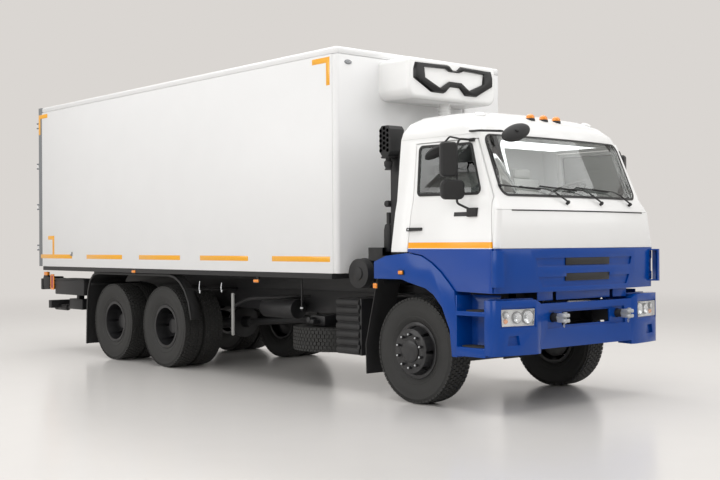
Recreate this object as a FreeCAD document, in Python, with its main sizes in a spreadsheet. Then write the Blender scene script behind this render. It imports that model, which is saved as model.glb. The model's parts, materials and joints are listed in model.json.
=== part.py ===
"""Three-axle refrigerated box truck: ladder frame, tilting cab, insulated body and cooling unit.

The model stands on z = 0 with +X forward, +Y to the vehicle's left and +Z up, in millimetres.
Its origin is below the middle of the overall box.
"""
import FreeCAD, Part
import math
import os
import Sketcher

Vec = FreeCAD.Vector
doc = FreeCAD.newDocument("refrigerated_truck")
sheet = doc.addObject("Spreadsheet::Sheet", "Sizes")

SIZES = [
    # running gear
    ("front_axle_x", 3480), ("first_wheelbase", 4714), ("bogie_spacing", 1354),
    ("tyre_radius", 535), ("tyre_width", 280), ("rim_radius", 286), ("rim_width", 210),
    ("front_tyre_y", 1066), ("rear_twin_y", 952), ("twin_spacing", 310),
    ("kingpin_y", 870), ("steer_clearance", 4),
    ("wheel_offset", 172), ("disc_thickness", 14), ("disc_radius", 222), ("hub_radius", 118),
    ("bolt_circle_radius", 167), ("nut_radius", 16), ("nut_height", 30), ("nut_count", 10),
    ("hand_hole_radius", 19), ("hand_hole_circle", 238), ("hand_hole_count", 8),
    ("bore_clear", 100), ("drum_inner", 68), ("drum_radius", 205), ("rear_drum_inner", 200),
    ("rear_hub_reach", 150), ("spindle_radius", 46), ("kingpin_radius", 30), ("kingpin_boss_radius", 46),
    ("bogie_spring_drop", 70), ("spring_seat_half", 40), ("pinion_reach", 240), ("engine_half", 320),
    ("fork_thickness", 34), ("arm_length", 190),
    # ladder frame
    ("rail_bottom_z", 780), ("rail_height", 270), ("rail_flange", 80), ("rail_thickness", 8),
    ("frame_half_width", 432), ("rail_front_overhang", 960), ("rail_rear_x", -4700),
    ("member_width", 110), ("member_drop", 25), ("plate_thickness", 8),
    ("bearer_height", 182), ("bearer_width", 70), ("cross_bearer_width", 60),
    ("cross_bearer_count", 13), ("cross_bearer_inset", 110), ("sill_height", 60), ("sill_width", 60),
    # axles and springs
    ("axle_tube_radius", 68), ("diff_radius", 215), ("diff_width", 190),
    ("beam_drop", 110), ("beam_width", 96), ("beam_depth", 92),
    ("spring_width", 90), ("leaf_thickness", 16), ("leaf_count", 4), ("front_spring_half", 780),
    ("rear_spring_half", 745), ("rear_spring_y", 515), ("trunnion_radius", 70),
    # insulated body
    ("box_front_gap", 1071), ("box_length", 7214), ("box_half_width", 1300),
    ("box_bottom_z", 1292), ("box_top_z", 3736), ("box_wall", 80), ("post_radius", 50),
    ("roof_radius", 30), ("box_floor_thickness", 110),
    ("portal_width", 70), ("portal_depth", 110), ("door_thickness", 75), ("door_gap", 8),
    ("portal_sill", 110), ("portal_header", 90), ("leaf_gap", 8), ("hinge_standoff", 48),
    ("hinge_half", 25), ("hinge_lug", 20), ("hinge_pin_radius", 7), ("pin_fit", 0.05),
    ("hinge_end", 170), ("strap_reach", 170), ("lock_rod_inner", 420), ("lock_rod_outer", 900),
    ("lock_rod_radius", 14), ("door_hinge_radius", 15), ("door_hinge_count", 4),
    # cab
    ("cab_wall", 36), ("cab_rear_x", -262), ("cab_bottom_z", 1140), ("cab_seam_gap", 10),
    ("cab_half_width", 1262), ("stripe_z", 1556), ("hood_top_z", 1923), ("arch_gap", 10),
    ("gutter_z", 2665), ("door_front_x", 1108), ("door_rear_x", -25), ("door_top_z", 2612),
    ("glass_thickness", 6), ("tilt_pivot_x", 1130), ("tilt_pivot_z", 1210), ("pivot_y", 470),
    ("pivot_thickness", 18), ("pivot_radius", 14), ("cab_hinge_radius", 8),
    ("cab_hinge_pin_radius", 4), ("cab_hinge_low_z", 1260), ("cab_hinge_high_z", 1480),
    ("cab_hinge_half", 14), ("footwell_z", 1184), ("cab_floor_top", 1572),
    ("window_corner", 34), ("door_reach", 1084), ("lamp_gap", 0.3), ("screen_corner", 75),
    ("gasket_width", 20), ("gasket_proud", 5),
    ("skirt_x", 1178), ("skirt_half", 705), ("skirt_low_z", 1056), ("skirt_thickness", 5),
    ("groove_depth", 18), ("duct_low_z", 1214), ("duct_high_z", 1524),
    # cooling unit
    ("unit_depth", 481), ("unit_half_width", 695), ("unit_drop", 106), ("unit_height", 445),
    ("unit_low_radius", 120), ("unit_top_radius", 60), ("unit_front_radius", 45),
    ("surround_depth", 28), ("surround_centre_drop", 190), ("eye_centre_drop", 200),
    ("drain_radius", 62), ("hose_radius", 18),
    # mirrors
    ("mirror_tube_x", 705), ("mirror_tube_y", 1302), ("mirror_thickness", 62),
    ("mirror_toe_in", 27), ("mirror_bevel", 14), ("mirror_tube_radius", 11),
    # bumper and lamps
    ("bumper_front_x", 1236), ("bumper_top_z", 1075), ("bumper_bottom_z", 560),
    ("bumper_half_width", 1295), ("bumper_thickness", 14), ("bumper_rear_x", 1040),
    ("step_start_x", 668), ("step_inner_y", 1062),
    ("bumper_middle_top", 1030), ("bumper_middle_rise", 40), ("recess_depth", 24),
    ("tow_pin_x", 1358), ("tow_pin_y", 511), ("tow_pin_z", 892), ("tow_pin_body", 30),
    ("tow_pin_length", 80), ("tow_collar_radius", 42), ("collar_gap", 6), ("tow_hole_depth", 120),
    ("bracket_width", 110), ("running_gap", 1),
]
for row, (name, value) in enumerate(SIZES, 1):
    sheet.set("A%d" % row, name)
    sheet.set("B%d" % row, str(value))
    sheet.setAlias("B%d" % row, name)
doc.recompute()


class Dim:
    """A size of the sheet, or arithmetic on such sizes, kept both as text and as a number."""

    def __init__(self, text, value):
        self.text = text
        self.value = float(value)

    def __float__(self):
        return self.value

    def join(self, other, sign, value, swap=False):
        text = other.text if isinstance(other, Dim) else repr(other)
        first, second = (text, self.text) if swap else (self.text, text)
        return Dim("(%s %s %s)" % (first, sign, second), value)

    def __add__(self, other):
        return self.join(other, "+", self.value + float(other))

    def __radd__(self, other):
        return self.join(other, "+", float(other) + self.value, True)

    def __sub__(self, other):
        return self.join(other, "-", self.value - float(other))

    def __rsub__(self, other):
        return self.join(other, "-", float(other) - self.value, True)

    def __mul__(self, other):
        return self.join(other, "*", self.value * float(other))

    def __rmul__(self, other):
        return self.join(other, "*", float(other) * self.value, True)

    def __truediv__(self, other):
        return self.join(other, "/", self.value / float(other))

    def __neg__(self):
        return Dim("(-%s)" % self.text, -self.value)


class Sheet:
    """Gives each named cell of the sheet as a Dim."""

    def __getattr__(self, name):
        return Dim("Sizes." + name, sheet.get(name))


d = Sheet()
LEFT, RIGHT = 1, -1
SIDES = (("left", LEFT), ("right", RIGHT))


# ---------------------------------------------------------------- document helpers
def bind(thing, prop, size):
    """Ties a property to a size, or sets it when the value is a plain number."""
    if isinstance(size, Dim):
        thing.setExpression(prop, size.text)
    else:
        thing.setExpression(prop, repr(float(size)))


def place(thing, x=0, y=0, z=0):
    """Ties the position of an object to sizes."""
    for axis, size in (("x", x), ("y", y), ("z", z)):
        bind(thing, "Placement.Base." + axis, size)
    return thing


def plane_of(body, role):
    for feature in body.Origin.OriginFeatures:
        if feature.Role == role:
            return feature
    raise ValueError(role)


def sketch_on(body, name, role, offset=None):
    """Adds a sketch on one of the body's own origin planes, moved along the normal by offset."""
    sketch = body.newObject("Sketcher::SketchObject", name)
    sketch.AttachmentSupport = (plane_of(body, role), [""])
    sketch.MapMode = "FlatFace"
    if offset is not None:
        bind(sketch, "AttachmentOffset.Base.z", offset)
    return sketch


def outline(sketch, points):
    """Closes a polygon whose every corner is held by two dimensions to the sketch's origin."""
    corners = [Vec(float(u), float(v), 0) for u, v in points]
    first = sketch.GeometryCount
    count = len(corners)
    for i in range(count):
        sketch.addGeometry(Part.LineSegment(corners[i], corners[(i + 1) % count]), False)
    for i in range(count):
        sketch.addConstraint(Sketcher.Constraint(
            "Coincident", first + i, 2, first + (i + 1) % count, 1))
    for i, (u, v) in enumerate(points):
        for kind, size in (("DistanceX", u), ("DistanceY", v)):
            number = sketch.addConstraint(Sketcher.Constraint(
                kind, -1, 1, first + i, 1, float(size)))
            if isinstance(size, Dim):
                sketch.setExpression("Constraints[%d]" % number, size.text)


def circle(sketch, u, v, radius):
    """Adds a circle held by its centre and radius."""
    number = sketch.addGeometry(Part.Circle(Vec(float(u), float(v), 0), Vec(0, 0, 1), float(radius)))
    for kind, size in (("DistanceX", u), ("DistanceY", v)):
        held = sketch.addConstraint(Sketcher.Constraint(kind, -1, 1, number, 3, float(size)))
        if isinstance(size, Dim):
            sketch.setExpression("Constraints[%d]" % held, size.text)
    held = sketch.addConstraint(Sketcher.Constraint("Radius", number, float(radius)))
    if isinstance(radius, Dim):
        sketch.setExpression("Constraints[%d]" % held, radius.text)


def new_body(name):
    return doc.addObject("PartDesign::Body", name)


def pad(body, name, sketch, length):
    feature = body.newObject("PartDesign::Pad", name)
    feature.Profile = sketch
    bind(feature, "Length", length)
    body.Tip = feature
    return feature


def prism(name, role, start, depth, points):
    """A body padded from a polygon: it fills start to start + depth along the plane's axis."""
    body = new_body(name)
    offset = -1 * (start + depth) if role == "XZ_Plane" else start
    sketch = sketch_on(body, name + "_outline", role, offset)
    outline(sketch, points)
    pad(body, name + "_pad", sketch, depth)
    return body


def revolved(name, points):
    """A body turned about the Y axis from a half profile of (radius, y) corners."""
    body = new_body(name)
    sketch = sketch_on(body, name + "_profile", "XY_Plane")
    outline(sketch, points)
    turn = body.newObject("PartDesign::Revolution", name + "_turn")
    turn.Profile = sketch
    turn.ReferenceAxis = (sketch, ["V_Axis"])
    turn.Angle = 360.0
    body.Tip = turn
    return body


def block(name, x, y, z, length, width, height):
    """A plain box by its low corner and three sizes."""
    thing = doc.addObject("Part::Box", name)
    bind(thing, "Length", length)
    bind(thing, "Width", width)
    bind(thing, "Height", height)
    return place(thing, x, y, z)


TURNS = {"X": (Vec(0, 1, 0), 90), "Y": (Vec(1, 0, 0), -90), "Z": (Vec(0, 0, 1), 0)}


def rod(name, axis, x, y, z, radius, length):
    """A cylinder that starts at a point and runs along +X, +Y or +Z."""
    thing = doc.addObject("Part::Cylinder", name)
    bind(thing, "Radius", radius)
    bind(thing, "Height", length)
    thing.Placement = FreeCAD.Placement(Vec(), FreeCAD.Rotation(*TURNS[axis]))
    return place(thing, x, y, z)


def rounded(name, base, radius, chosen):
    """Rounds the edges of a piece whose bounding boxes pass the given test."""
    doc.recompute()
    thing = doc.addObject("Part::Fillet", name)
    thing.Base = base
    thing.Edges = [(i, radius, radius) for i, e in enumerate(base.Shape.Edges, 1)
                   if chosen(e.BoundBox)]
    return thing


def mirrored(name, source):
    """The same piece on the other side of the vehicle's middle plane."""
    thing = doc.addObject("Part::Mirroring", name)
    thing.Source = source
    thing.Base = Vec(0, 0, 0)
    thing.Normal = Vec(0, 1, 0)
    return thing


def joined(name, pieces):
    thing = doc.addObject("Part::MultiFuse", name)
    thing.Shapes = pieces
    return thing


def cut(name, base, tools):
    thing = doc.addObject("Part::Cut", name)
    thing.Base = base
    thing.Tool = tools[0] if len(tools) == 1 else joined(name + "_tools", tools)
    return thing


def shaped(name, shape):
    """A sub-part whose shape is worked out here from the sheet's sizes."""
    thing = doc.addObject("Part::Feature", name)
    thing.Shape = shape
    thing.Placement = FreeCAD.Placement()
    return thing


NODES = {}


def node(label, thing):
    """Names a finished sub-part."""
    thing.Label = label
    NODES[label] = thing
    return thing


# ---------------------------------------------------------------- shared places
FRONT_X = d.front_axle_x
MID_X = FRONT_X - d.first_wheelbase
REAR_X = MID_X - d.bogie_spacing
BOGIE_X = MID_X - d.bogie_spacing / 2
AXLE_Z = d.tyre_radius
RAIL_TOP = d.rail_bottom_z + d.rail_height
BEARER_TOP = RAIL_TOP + d.bearer_height
BOX_FRONT = FRONT_X - d.box_front_gap
BOX_REAR = BOX_FRONT - d.box_length
BOX_MID_Z = (d.box_bottom_z + d.box_top_z) / 2


# ---------------------------------------------------------------- ladder frame
def make_frame():
    inner = d.frame_half_width - d.rail_flange
    web = d.frame_half_width - d.rail_thickness
    low = d.rail_bottom_z + d.rail_thickness
    high = RAIL_TOP - d.rail_thickness
    start = d.rail_rear_x
    length = FRONT_X + d.rail_front_overhang - start
    section = [(inner, d.rail_bottom_z), (d.frame_half_width, d.rail_bottom_z),
               (d.frame_half_width, RAIL_TOP), (inner, RAIL_TOP), (inner, high), (web, high),
               (web, low), (inner, low)]
    rail = prism("rail_left", "YZ_Plane", start, length, section)
    pieces = [rail, mirrored("rail_right", rail)]
    places = [("front", FRONT_X + 860), ("tank", FRONT_X - 2500),
              ("bogie_front", MID_X + 560), ("bogie", BOGIE_X), ("bogie_rear", REAR_X - 560),
              ("tail", d.rail_rear_x + d.member_width)]
    for name, x in places:
        low_z = d.rail_bottom_z + d.member_drop
        high_z = RAIL_TOP - d.member_drop
        near = x - d.member_width / 2
        far = x + d.member_width / 2
        web_x = near + d.plate_thickness
        section = [(near, low_z), (far, low_z), (far, low_z + d.plate_thickness),
                   (web_x, low_z + d.plate_thickness), (web_x, high_z - d.plate_thickness),
                   (far, high_z - d.plate_thickness), (far, high_z), (near, high_z)]
        pieces.append(prism("member_" + name, "XZ_Plane", -web, web * 2, section))
    return joined("frame", pieces)


def make_bearers():
    half = d.bearer_width / 2
    middle = d.frame_half_width - d.rail_flange / 2
    length = d.box_length - d.cross_bearer_inset * 2
    start = BOX_REAR + d.cross_bearer_inset
    left = block("bearer_left", start, middle - half, RAIL_TOP, length, d.bearer_width,
                 d.bearer_height)
    pieces = [left, mirrored("bearer_right", left)]
    pitch = (length - d.cross_bearer_width) / (d.cross_bearer_count - 1)
    first = block("cross_bearer", start, -(d.box_half_width - d.sill_width), BEARER_TOP,
                  d.cross_bearer_width, (d.box_half_width - d.sill_width) * 2,
                  d.box_bottom_z - BEARER_TOP)
    pieces.append(first)
    for i in range(1, int(float(d.cross_bearer_count))):
        pieces.append(block("cross_bearer_%d" % i, start + pitch * i,
                            -(d.box_half_width - d.sill_width), BEARER_TOP, d.cross_bearer_width,
                            (d.box_half_width - d.sill_width) * 2, d.box_bottom_z - BEARER_TOP))
    sill = block("sill_left", start, d.box_half_width - d.sill_width - 10,
                 d.box_bottom_z - d.sill_height, length, d.sill_width, d.sill_height)
    pieces += [sill, mirrored("sill_right", sill)]
    return joined("bearers", pieces)


# ---------------------------------------------------------------- axles and springs
def make_front_axle():
    """Dropped I-beam with a kingpin boss at each end."""
    end = d.kingpin_y
    top = AXLE_Z + d.beam_depth / 2
    low = AXLE_Z - d.beam_depth / 2
    seat = d.frame_half_width + 100
    points = [(-end, low), (-(end - 90), low), (-seat, low - d.beam_drop),
              (seat, low - d.beam_drop), (end - 90, low), (end, low), (end, top),
              (end - 130, top), (seat - 30, top - d.beam_drop), (-(seat - 30), top - d.beam_drop),
              (-(end - 130), top), (-end, top)]
    beam = prism("beam", "YZ_Plane", FRONT_X - d.beam_width / 2, d.beam_width, points)
    bores = [rod("kingpin_bore_" + name, "Z", FRONT_X, side * d.kingpin_y, low - 20,
                 d.kingpin_radius + d.pin_fit, d.beam_depth + 40) for name, side in SIDES]
    bosses = [rod("kingpin_boss_" + name, "Z", FRONT_X, side * d.kingpin_y, low,
                  d.kingpin_boss_radius, d.beam_depth) for name, side in SIDES]
    return cut("front_axle_beam", joined("beam_with_bosses", [beam] + bosses), bores)


def leaf_pack(name, x, y, low_z, half, count, shorten, rise, long_below=False):
    """Leaves stacked from low_z up; the longest lies on top, or at the bottom when inverted."""
    pieces = []
    for i in range(count):
        reach = half - shorten * (i if long_below else count - 1 - i)
        under = low_z + d.leaf_thickness * i
        top = under + d.leaf_thickness
        lift = rise
        points = [(x - reach, under + lift), (x - reach / 2, under + lift * 0.3),
                  (x - 100, under), (x + 100, under), (x + reach / 2, under + lift * 0.3),
                  (x + reach, under + lift), (x + reach, top + lift),
                  (x + reach / 2, top + lift * 0.3), (x + 100, top), (x - 100, top),
                  (x - reach / 2, top + lift * 0.3), (x - reach, top + lift)]
        pieces.append(prism("%s_leaf_%d" % (name, i), "XZ_Plane", y - d.spring_width / 2,
                            d.spring_width, points))
    return pieces


def make_front_springs():
    low = AXLE_Z + d.beam_depth / 2 - d.beam_drop
    middle = d.frame_half_width - 5
    pieces = leaf_pack("front", FRONT_X, middle, low, d.front_spring_half, 3, 120, 90)
    eye_z = low + d.leaf_thickness * 3 + 90
    for name, along in (("front", 1), ("rear", -1)):
        x = FRONT_X + along * d.front_spring_half
        pieces.append(prism("spring_hanger_" + name, "XZ_Plane", middle - 40, Dim("80", 80), [
            (x - 45, eye_z - 40), (x + 45, eye_z - 40), (x + 70, d.rail_bottom_z),
            (x - 70, d.rail_bottom_z)]))
    left = joined("front_springs_left", pieces)
    return joined("front_springs", [left, mirrored("front_springs_right", left)])


def make_drive_axles():
    """Two banjo axles with a round differential case and drive flange."""
    pieces = []
    reach = d.rear_twin_y - 250
    for name, x in (("mid", MID_X), ("rear", REAR_X)):
        pieces.append(rod("axle_tube_" + name, "Y", x, -reach, AXLE_Z, d.axle_tube_radius, reach * 2))
        half = d.rear_twin_y + d.rear_hub_reach - 45
        pieces.append(rod("axle_spindle_" + name, "Y", x, -half, AXLE_Z, d.spindle_radius, half * 2))
        bowl = revolved("diff_" + name, [(0, 0), (d.diff_radius, 0), (d.diff_radius, 60),
                                         (d.diff_radius - 60, d.diff_width), (0, d.diff_width)])
        bowl.Placement = FreeCAD.Placement(Vec(), FreeCAD.Rotation(Vec(0, 0, 1), 90))
        place(bowl, x + d.diff_width / 2, 0, AXLE_Z + 10)
        pieces.append(bowl)
        pieces.append(rod("pinion_" + name, "X", x + 80, 0, AXLE_Z + 10, 75, Dim("160", 160)))
    drop = d.bogie_spring_drop
    low = AXLE_Z + d.axle_tube_radius + drop
    half = d.rear_spring_half
    tops = [low - drop * (0.7 * (d.bogie_spacing / 2 + side * d.spring_seat_half - half / 2)
                          / (half / 2) + 0.3) for side in (-1, 1)]
    for i, (x, along) in enumerate(((MID_X, 1), (REAR_X, -1))):
        near = x - along * d.spring_seat_half
        far = x + along * d.spring_seat_half
        seat = prism("spring_seat_%d" % i, "XZ_Plane", d.rear_spring_y - 40, Dim("80", 80), [
            (near, AXLE_Z), (far, AXLE_Z), (far, tops[1]), (near, tops[0])])
        pieces += [seat, mirrored("spring_seat_right_%d" % i, seat)]
    return joined("drive_axles", pieces)


def make_bogie_springs():
    """Inverted leaf packs on a central trunnion, with torque rods."""
    drop = d.bogie_spring_drop
    low = AXLE_Z + d.axle_tube_radius + drop
    pieces = leaf_pack("bogie", BOGIE_X, d.rear_spring_y, low, d.rear_spring_half, 5, 120,
                       -1 * drop, True)
    pieces.append(rod("trunnion", "Y", BOGIE_X, d.frame_half_width, low - d.trunnion_radius,
                      d.trunnion_radius,
                      d.rear_spring_y - d.frame_half_width + 80))
    pieces.append(prism("trunnion_bracket", "XZ_Plane", d.frame_half_width, Dim("30", 30), [
        (BOGIE_X - 90, low - 120), (BOGIE_X + 90, low - 120), (BOGIE_X + 220, RAIL_TOP - 60),
        (BOGIE_X - 220, RAIL_TOP - 60)]))
    left = joined("bogie_springs_left", pieces)
    return joined("bogie_springs", [left, mirrored("bogie_springs_right", left)])


def rod_between(name, start, end, radius):
    """A cylinder from one point to another."""
    start, end = (Vec(*[float(v) for v in p]) for p in (start, end))
    thing = doc.addObject("Part::Cylinder", name)
    thing.Radius = float(radius)
    thing.Height = (end - start).Length
    thing.Placement = FreeCAD.Placement(start, FreeCAD.Rotation(Vec(0, 0, 1), end - start))
    return thing


def make_drivetrain():
    """Engine as a plain block, gearbox, and shafts to the two drive axles."""
    engine = block("engine", FRONT_X - 920, Dim("-320", -320), Dim("660", 660), Dim("1400", 1400),
                   Dim("640", 640), Dim("790", 790))
    box = block("gearbox", FRONT_X - 1400, Dim("-200", -200), Dim("720", 720), Dim("480", 480),
                Dim("400", 400), Dim("400", 400))
    radiator = block("radiator", FRONT_X + 600, Dim("-345", -345), Dim("640", 640), Dim("110", 110),
                     Dim("690", 690), Dim("500", 500))
    shroud = rod("fan_shroud", "X", FRONT_X + 480, 0, Dim("900", 900), 240, Dim("120", 120))
    flange_z = AXLE_Z + 10
    front = rod_between("front_shaft", (FRONT_X - 1390, 0, 800), (MID_X + 246, 0, flange_z), 48)
    flange = rod("shaft_flange", "X", MID_X + d.pinion_reach, 0, flange_z, 72, 16)
    inner = d.frame_half_width - d.rail_flange
    mounts = []
    for i, x in enumerate((-260, -1250)):
        start = d.engine_half if i == 0 else Dim("200", 200)
        mounts.append(block("engine_mount_%d" % i, FRONT_X + x, start, d.rail_bottom_z,
                            Dim("110", 110), inner - start, Dim("50", 50)))
    mounts += [mirrored("engine_mount_right_%d" % i, m) for i, m in enumerate(mounts)]
    back = rod_between("rear_shaft", (MID_X - d.diff_width / 2, 0, flange_z),
                       (REAR_X + 240, 0, flange_z), 44)
    return joined("drivetrain", [engine, box, radiator, shroud, front, flange, back] + mounts)


# ---------------------------------------------------------------- wheels
def make_tyre(name, x, y, z):
    half = d.tyre_width / 2
    bead = d.rim_radius
    points = [(bead, -(half - 35)), (bead + 90, -half), (d.tyre_radius - 70, -(half - 4)),
              (d.tyre_radius - 8, -(half - 40)), (d.tyre_radius, -(half - 70)),
              (d.tyre_radius, half - 70), (d.tyre_radius - 8, half - 40),
              (d.tyre_radius - 70, half - 4), (bead + 90, half), (bead, half - 35)]
    body = revolved(name, points)
    return place(body, x, y, z)


def make_disc(name, face, toward):
    """Barrel, dished disc with a ring of hand holes; face is where the disc bolts on.

    face and toward are measured outward from the tyre's middle; toward is +1 where the dish
    bulges outward and -1 where it bulges inward.
    """
    half = d.rim_width / 2
    lip = d.rim_radius
    well = lip - 26
    barrel = revolved(name + "_barrel", [
        (well - 12, -half), (lip - 1, -half), (lip - 1, -(half - 14)), (well, -(half - 40)),
        (well, half - 40), (lip - 1, half - 14), (lip - 1, half), (well - 12, half)])
    back = face - toward * d.disc_thickness
    disc = revolved(name + "_dish", [
        (d.bore_clear, back), (d.disc_radius - 8, back), (well - 8, toward * (half - 62)),
        (well - 4, toward * (half - 30)), (d.disc_radius, face), (d.bore_clear, face)])
    holes = sketch_on(disc, name + "_hand_hole", "XZ_Plane")
    circle(holes, Dim("0", 0), d.hand_hole_circle, d.hand_hole_radius)
    pocket = disc.newObject("PartDesign::Pocket", name + "_hand_hole_cut")
    pocket.Profile = holes
    pocket.Type = "ThroughAll"
    pocket.Midplane = True
    ring = disc.newObject("PartDesign::PolarPattern", name + "_hand_holes")
    ring.Originals = [pocket]
    ring.Axis = (holes, ["N_Axis"])
    ring.Angle = 360.0
    bind(ring, "Occurrences", d.hand_hole_count)
    disc.Tip = ring
    return [barrel, disc]


def make_nuts(name, face, height):
    """Ring of wheel nuts standing on the disc's face."""
    body = new_body(name)
    sketch = sketch_on(body, name + "_nut", "XZ_Plane", -1 * face)
    circle(sketch, Dim("0", 0), d.bolt_circle_radius, d.nut_radius)
    feature = pad(body, name + "_nut_pad", sketch, height)
    feature.Reversed = True
    ring = body.newObject("PartDesign::PolarPattern", name + "_nut_ring")
    ring.Originals = [feature]
    ring.Axis = (sketch, ["N_Axis"])
    ring.Angle = 360.0
    bind(ring, "Occurrences", d.nut_count)
    body.Tip = ring
    return body


def turned(name, source, side, x, y, z):
    """Puts a wheel piece, built with its outside toward +Y, on its side of the vehicle."""
    thing = source
    if side == RIGHT:
        thing.Placement = FreeCAD.Placement(Vec(), FreeCAD.Rotation(Vec(0, 0, 1), 180))
    return place(thing, x, y, z)


def make_front_wheel(name, side):
    face = d.wheel_offset + d.disc_thickness
    bore = d.spindle_radius + d.running_gap
    hub = revolved("hub_" + name, [
        (bore, -d.drum_inner), (d.drum_radius, -d.drum_inner), (d.drum_radius, Dim("70", 70)),
        (d.disc_radius - 12, d.wheel_offset - 20), (d.disc_radius - 12, d.wheel_offset),
        (d.hub_radius, d.wheel_offset), (d.hub_radius, face + 12), (d.hub_radius - 18, face + 20),
        (0, face + 20), (0, face), (bore, face)])
    pieces = make_disc("front_rim_" + name, face, 1) + [hub]
    pieces.append(make_nuts("nuts_" + name, face, d.nut_height))
    wheel = joined("front_rim_" + name, pieces)
    return turned(name, wheel, side, FRONT_X, side * d.front_tyre_y, AXLE_Z)


def make_rear_wheel(name, x, side):
    """Two rims back to back on one hub; their discs meet in the middle of the twin."""
    half = d.twin_spacing / 2
    outer = make_disc(name + "_outer", -1 * (half - d.disc_thickness), -1)
    inner = make_disc(name + "_inner", half, 1)
    for piece in outer:
        place(piece, 0, half, 0)
    for piece in inner:
        place(piece, 0, -half, 0)
    bore = d.spindle_radius + d.running_gap
    hub = revolved(name + "_hub", [
        (bore, -d.rear_drum_inner), (d.drum_radius, -d.rear_drum_inner),
        (d.drum_radius, Dim("-30", -30)), (d.disc_radius - 12, Dim("-30", -30)),
        (d.disc_radius - 12, 0), (d.hub_radius, 0), (d.hub_radius, d.rear_hub_reach - 25),
        (d.hub_radius - 25, d.rear_hub_reach), (0, d.rear_hub_reach),
        (0, d.rear_hub_reach - 40), (bore, d.rear_hub_reach - 40)])
    nuts = make_nuts(name + "_nuts", d.disc_thickness, d.nut_height)
    wheel = joined(name, outer + inner + [hub, nuts])
    return turned(name, wheel, side, x, side * d.rear_twin_y, AXLE_Z)


def make_twin_tyres(name, x, side):
    half = d.twin_spacing / 2
    pieces = [make_tyre(name + "_outer", 0, half, 0), make_tyre(name + "_inner", 0, -half, 0)]
    return turned(name, joined(name, pieces), side, x, side * d.rear_twin_y, AXLE_Z)


def make_knuckle(name, side):
    """Kingpin, fork, spindle and steering arm of one front wheel."""
    gap = d.steer_clearance
    half = d.beam_depth / 2
    pin_low = AXLE_Z - half - gap - d.fork_thickness
    height = d.beam_depth + gap * 2 + d.fork_thickness * 2
    pin = rod("kingpin_" + name, "Z", 0, 0, pin_low, d.kingpin_radius, height)
    top = block("fork_top_" + name, -50, -50, AXLE_Z + half + gap, Dim("100", 100), Dim("130", 130),
                d.fork_thickness)
    low = block("fork_low_" + name, -50, -50, pin_low, Dim("100", 100), Dim("130", 130),
                d.fork_thickness)
    web = block("fork_web_" + name, -60, 52, pin_low, Dim("120", 120), Dim("40", 40), height)
    spindle_start = Dim("90", 90)
    reach = d.front_tyre_y - d.kingpin_y + d.wheel_offset - spindle_start
    spindle = rod("spindle_" + name, "Y", 0, spindle_start, AXLE_Z, d.spindle_radius, reach)
    arm = block("arm_" + name, -(d.arm_length + 25), 40, pin_low, d.arm_length + 25, Dim("40", 40),
                d.fork_thickness)
    ball = rod("arm_ball_" + name, "Z", -d.arm_length, 60, pin_low - 30, Dim("14", 14),
               Dim("30", 30) + d.fork_thickness)
    knuckle = joined("knuckle_" + name, [pin, top, low, web, spindle, arm, ball])
    return turned(name, knuckle, side, FRONT_X, side * d.kingpin_y, 0)


# ---------------------------------------------------------------- insulated body
def make_box_walls():
    inside = d.box_half_width - d.box_wall
    rear = BOX_REAR + d.portal_depth
    length = BOX_FRONT - d.box_wall - rear
    height = d.box_top_z - d.box_wall - d.box_bottom_z
    front = block("front_wall", BOX_FRONT - d.box_wall, -d.box_half_width, d.box_bottom_z,
                  d.box_wall, d.box_half_width * 2, height)
    left = block("left_wall", rear, inside, d.box_bottom_z, length, d.box_wall, height)
    right = block("right_wall", rear, -d.box_half_width, d.box_bottom_z, length, d.box_wall, height)
    floor = block("floor", rear, -inside, d.box_bottom_z, length, inside * 2,
                  d.box_floor_thickness)
    roof = block("roof", rear, -d.box_half_width, d.box_top_z - d.box_wall,
                 length + d.box_wall, d.box_half_width * 2, d.box_wall)
    round_post = float(d.post_radius)
    round_top = float(d.roof_radius)
    front_x, side_y, top_z = float(BOX_FRONT), float(d.box_half_width), float(d.box_top_z)
    front = rounded("front_wall_rounded", front, round_post, lambda b: (
        b.ZLength > 500 and b.XMin > front_x - 1))
    roof = rounded("roof_posts", roof, round_post, lambda b: (
        b.ZLength > 20 and b.XMin > front_x - 1))
    roof = rounded("roof_rounded", roof, round_top, lambda b: (
        b.ZMin > top_z - 0.1 and b.XMax > front_x - 2 * round_post
        and (b.XMin > front_x - 2 * round_post or abs(b.YMin) > side_y - 1)))
    node("box_front_wall", front)
    node("box_side_walls", joined("side_walls", [left, right]))
    node("box_floor", floor)
    node("box_roof", roof)


HINGE_Y = d.box_half_width - 5
HINGE_X = BOX_REAR - d.hinge_standoff
LEAF_LOW = d.box_bottom_z + d.portal_sill + d.door_gap
LEAF_HIGH = d.box_top_z - d.portal_header - d.door_gap
LEAF_OUT = d.box_half_width - d.portal_width - d.door_gap


def hinge_height(i):
    """Middle of a hinge; the hinges are spread evenly up the leaf."""
    return LEAF_LOW + d.hinge_end + (LEAF_HIGH - LEAF_LOW - d.hinge_end * 2) / (
        d.door_hinge_count - 1) * i


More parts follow.
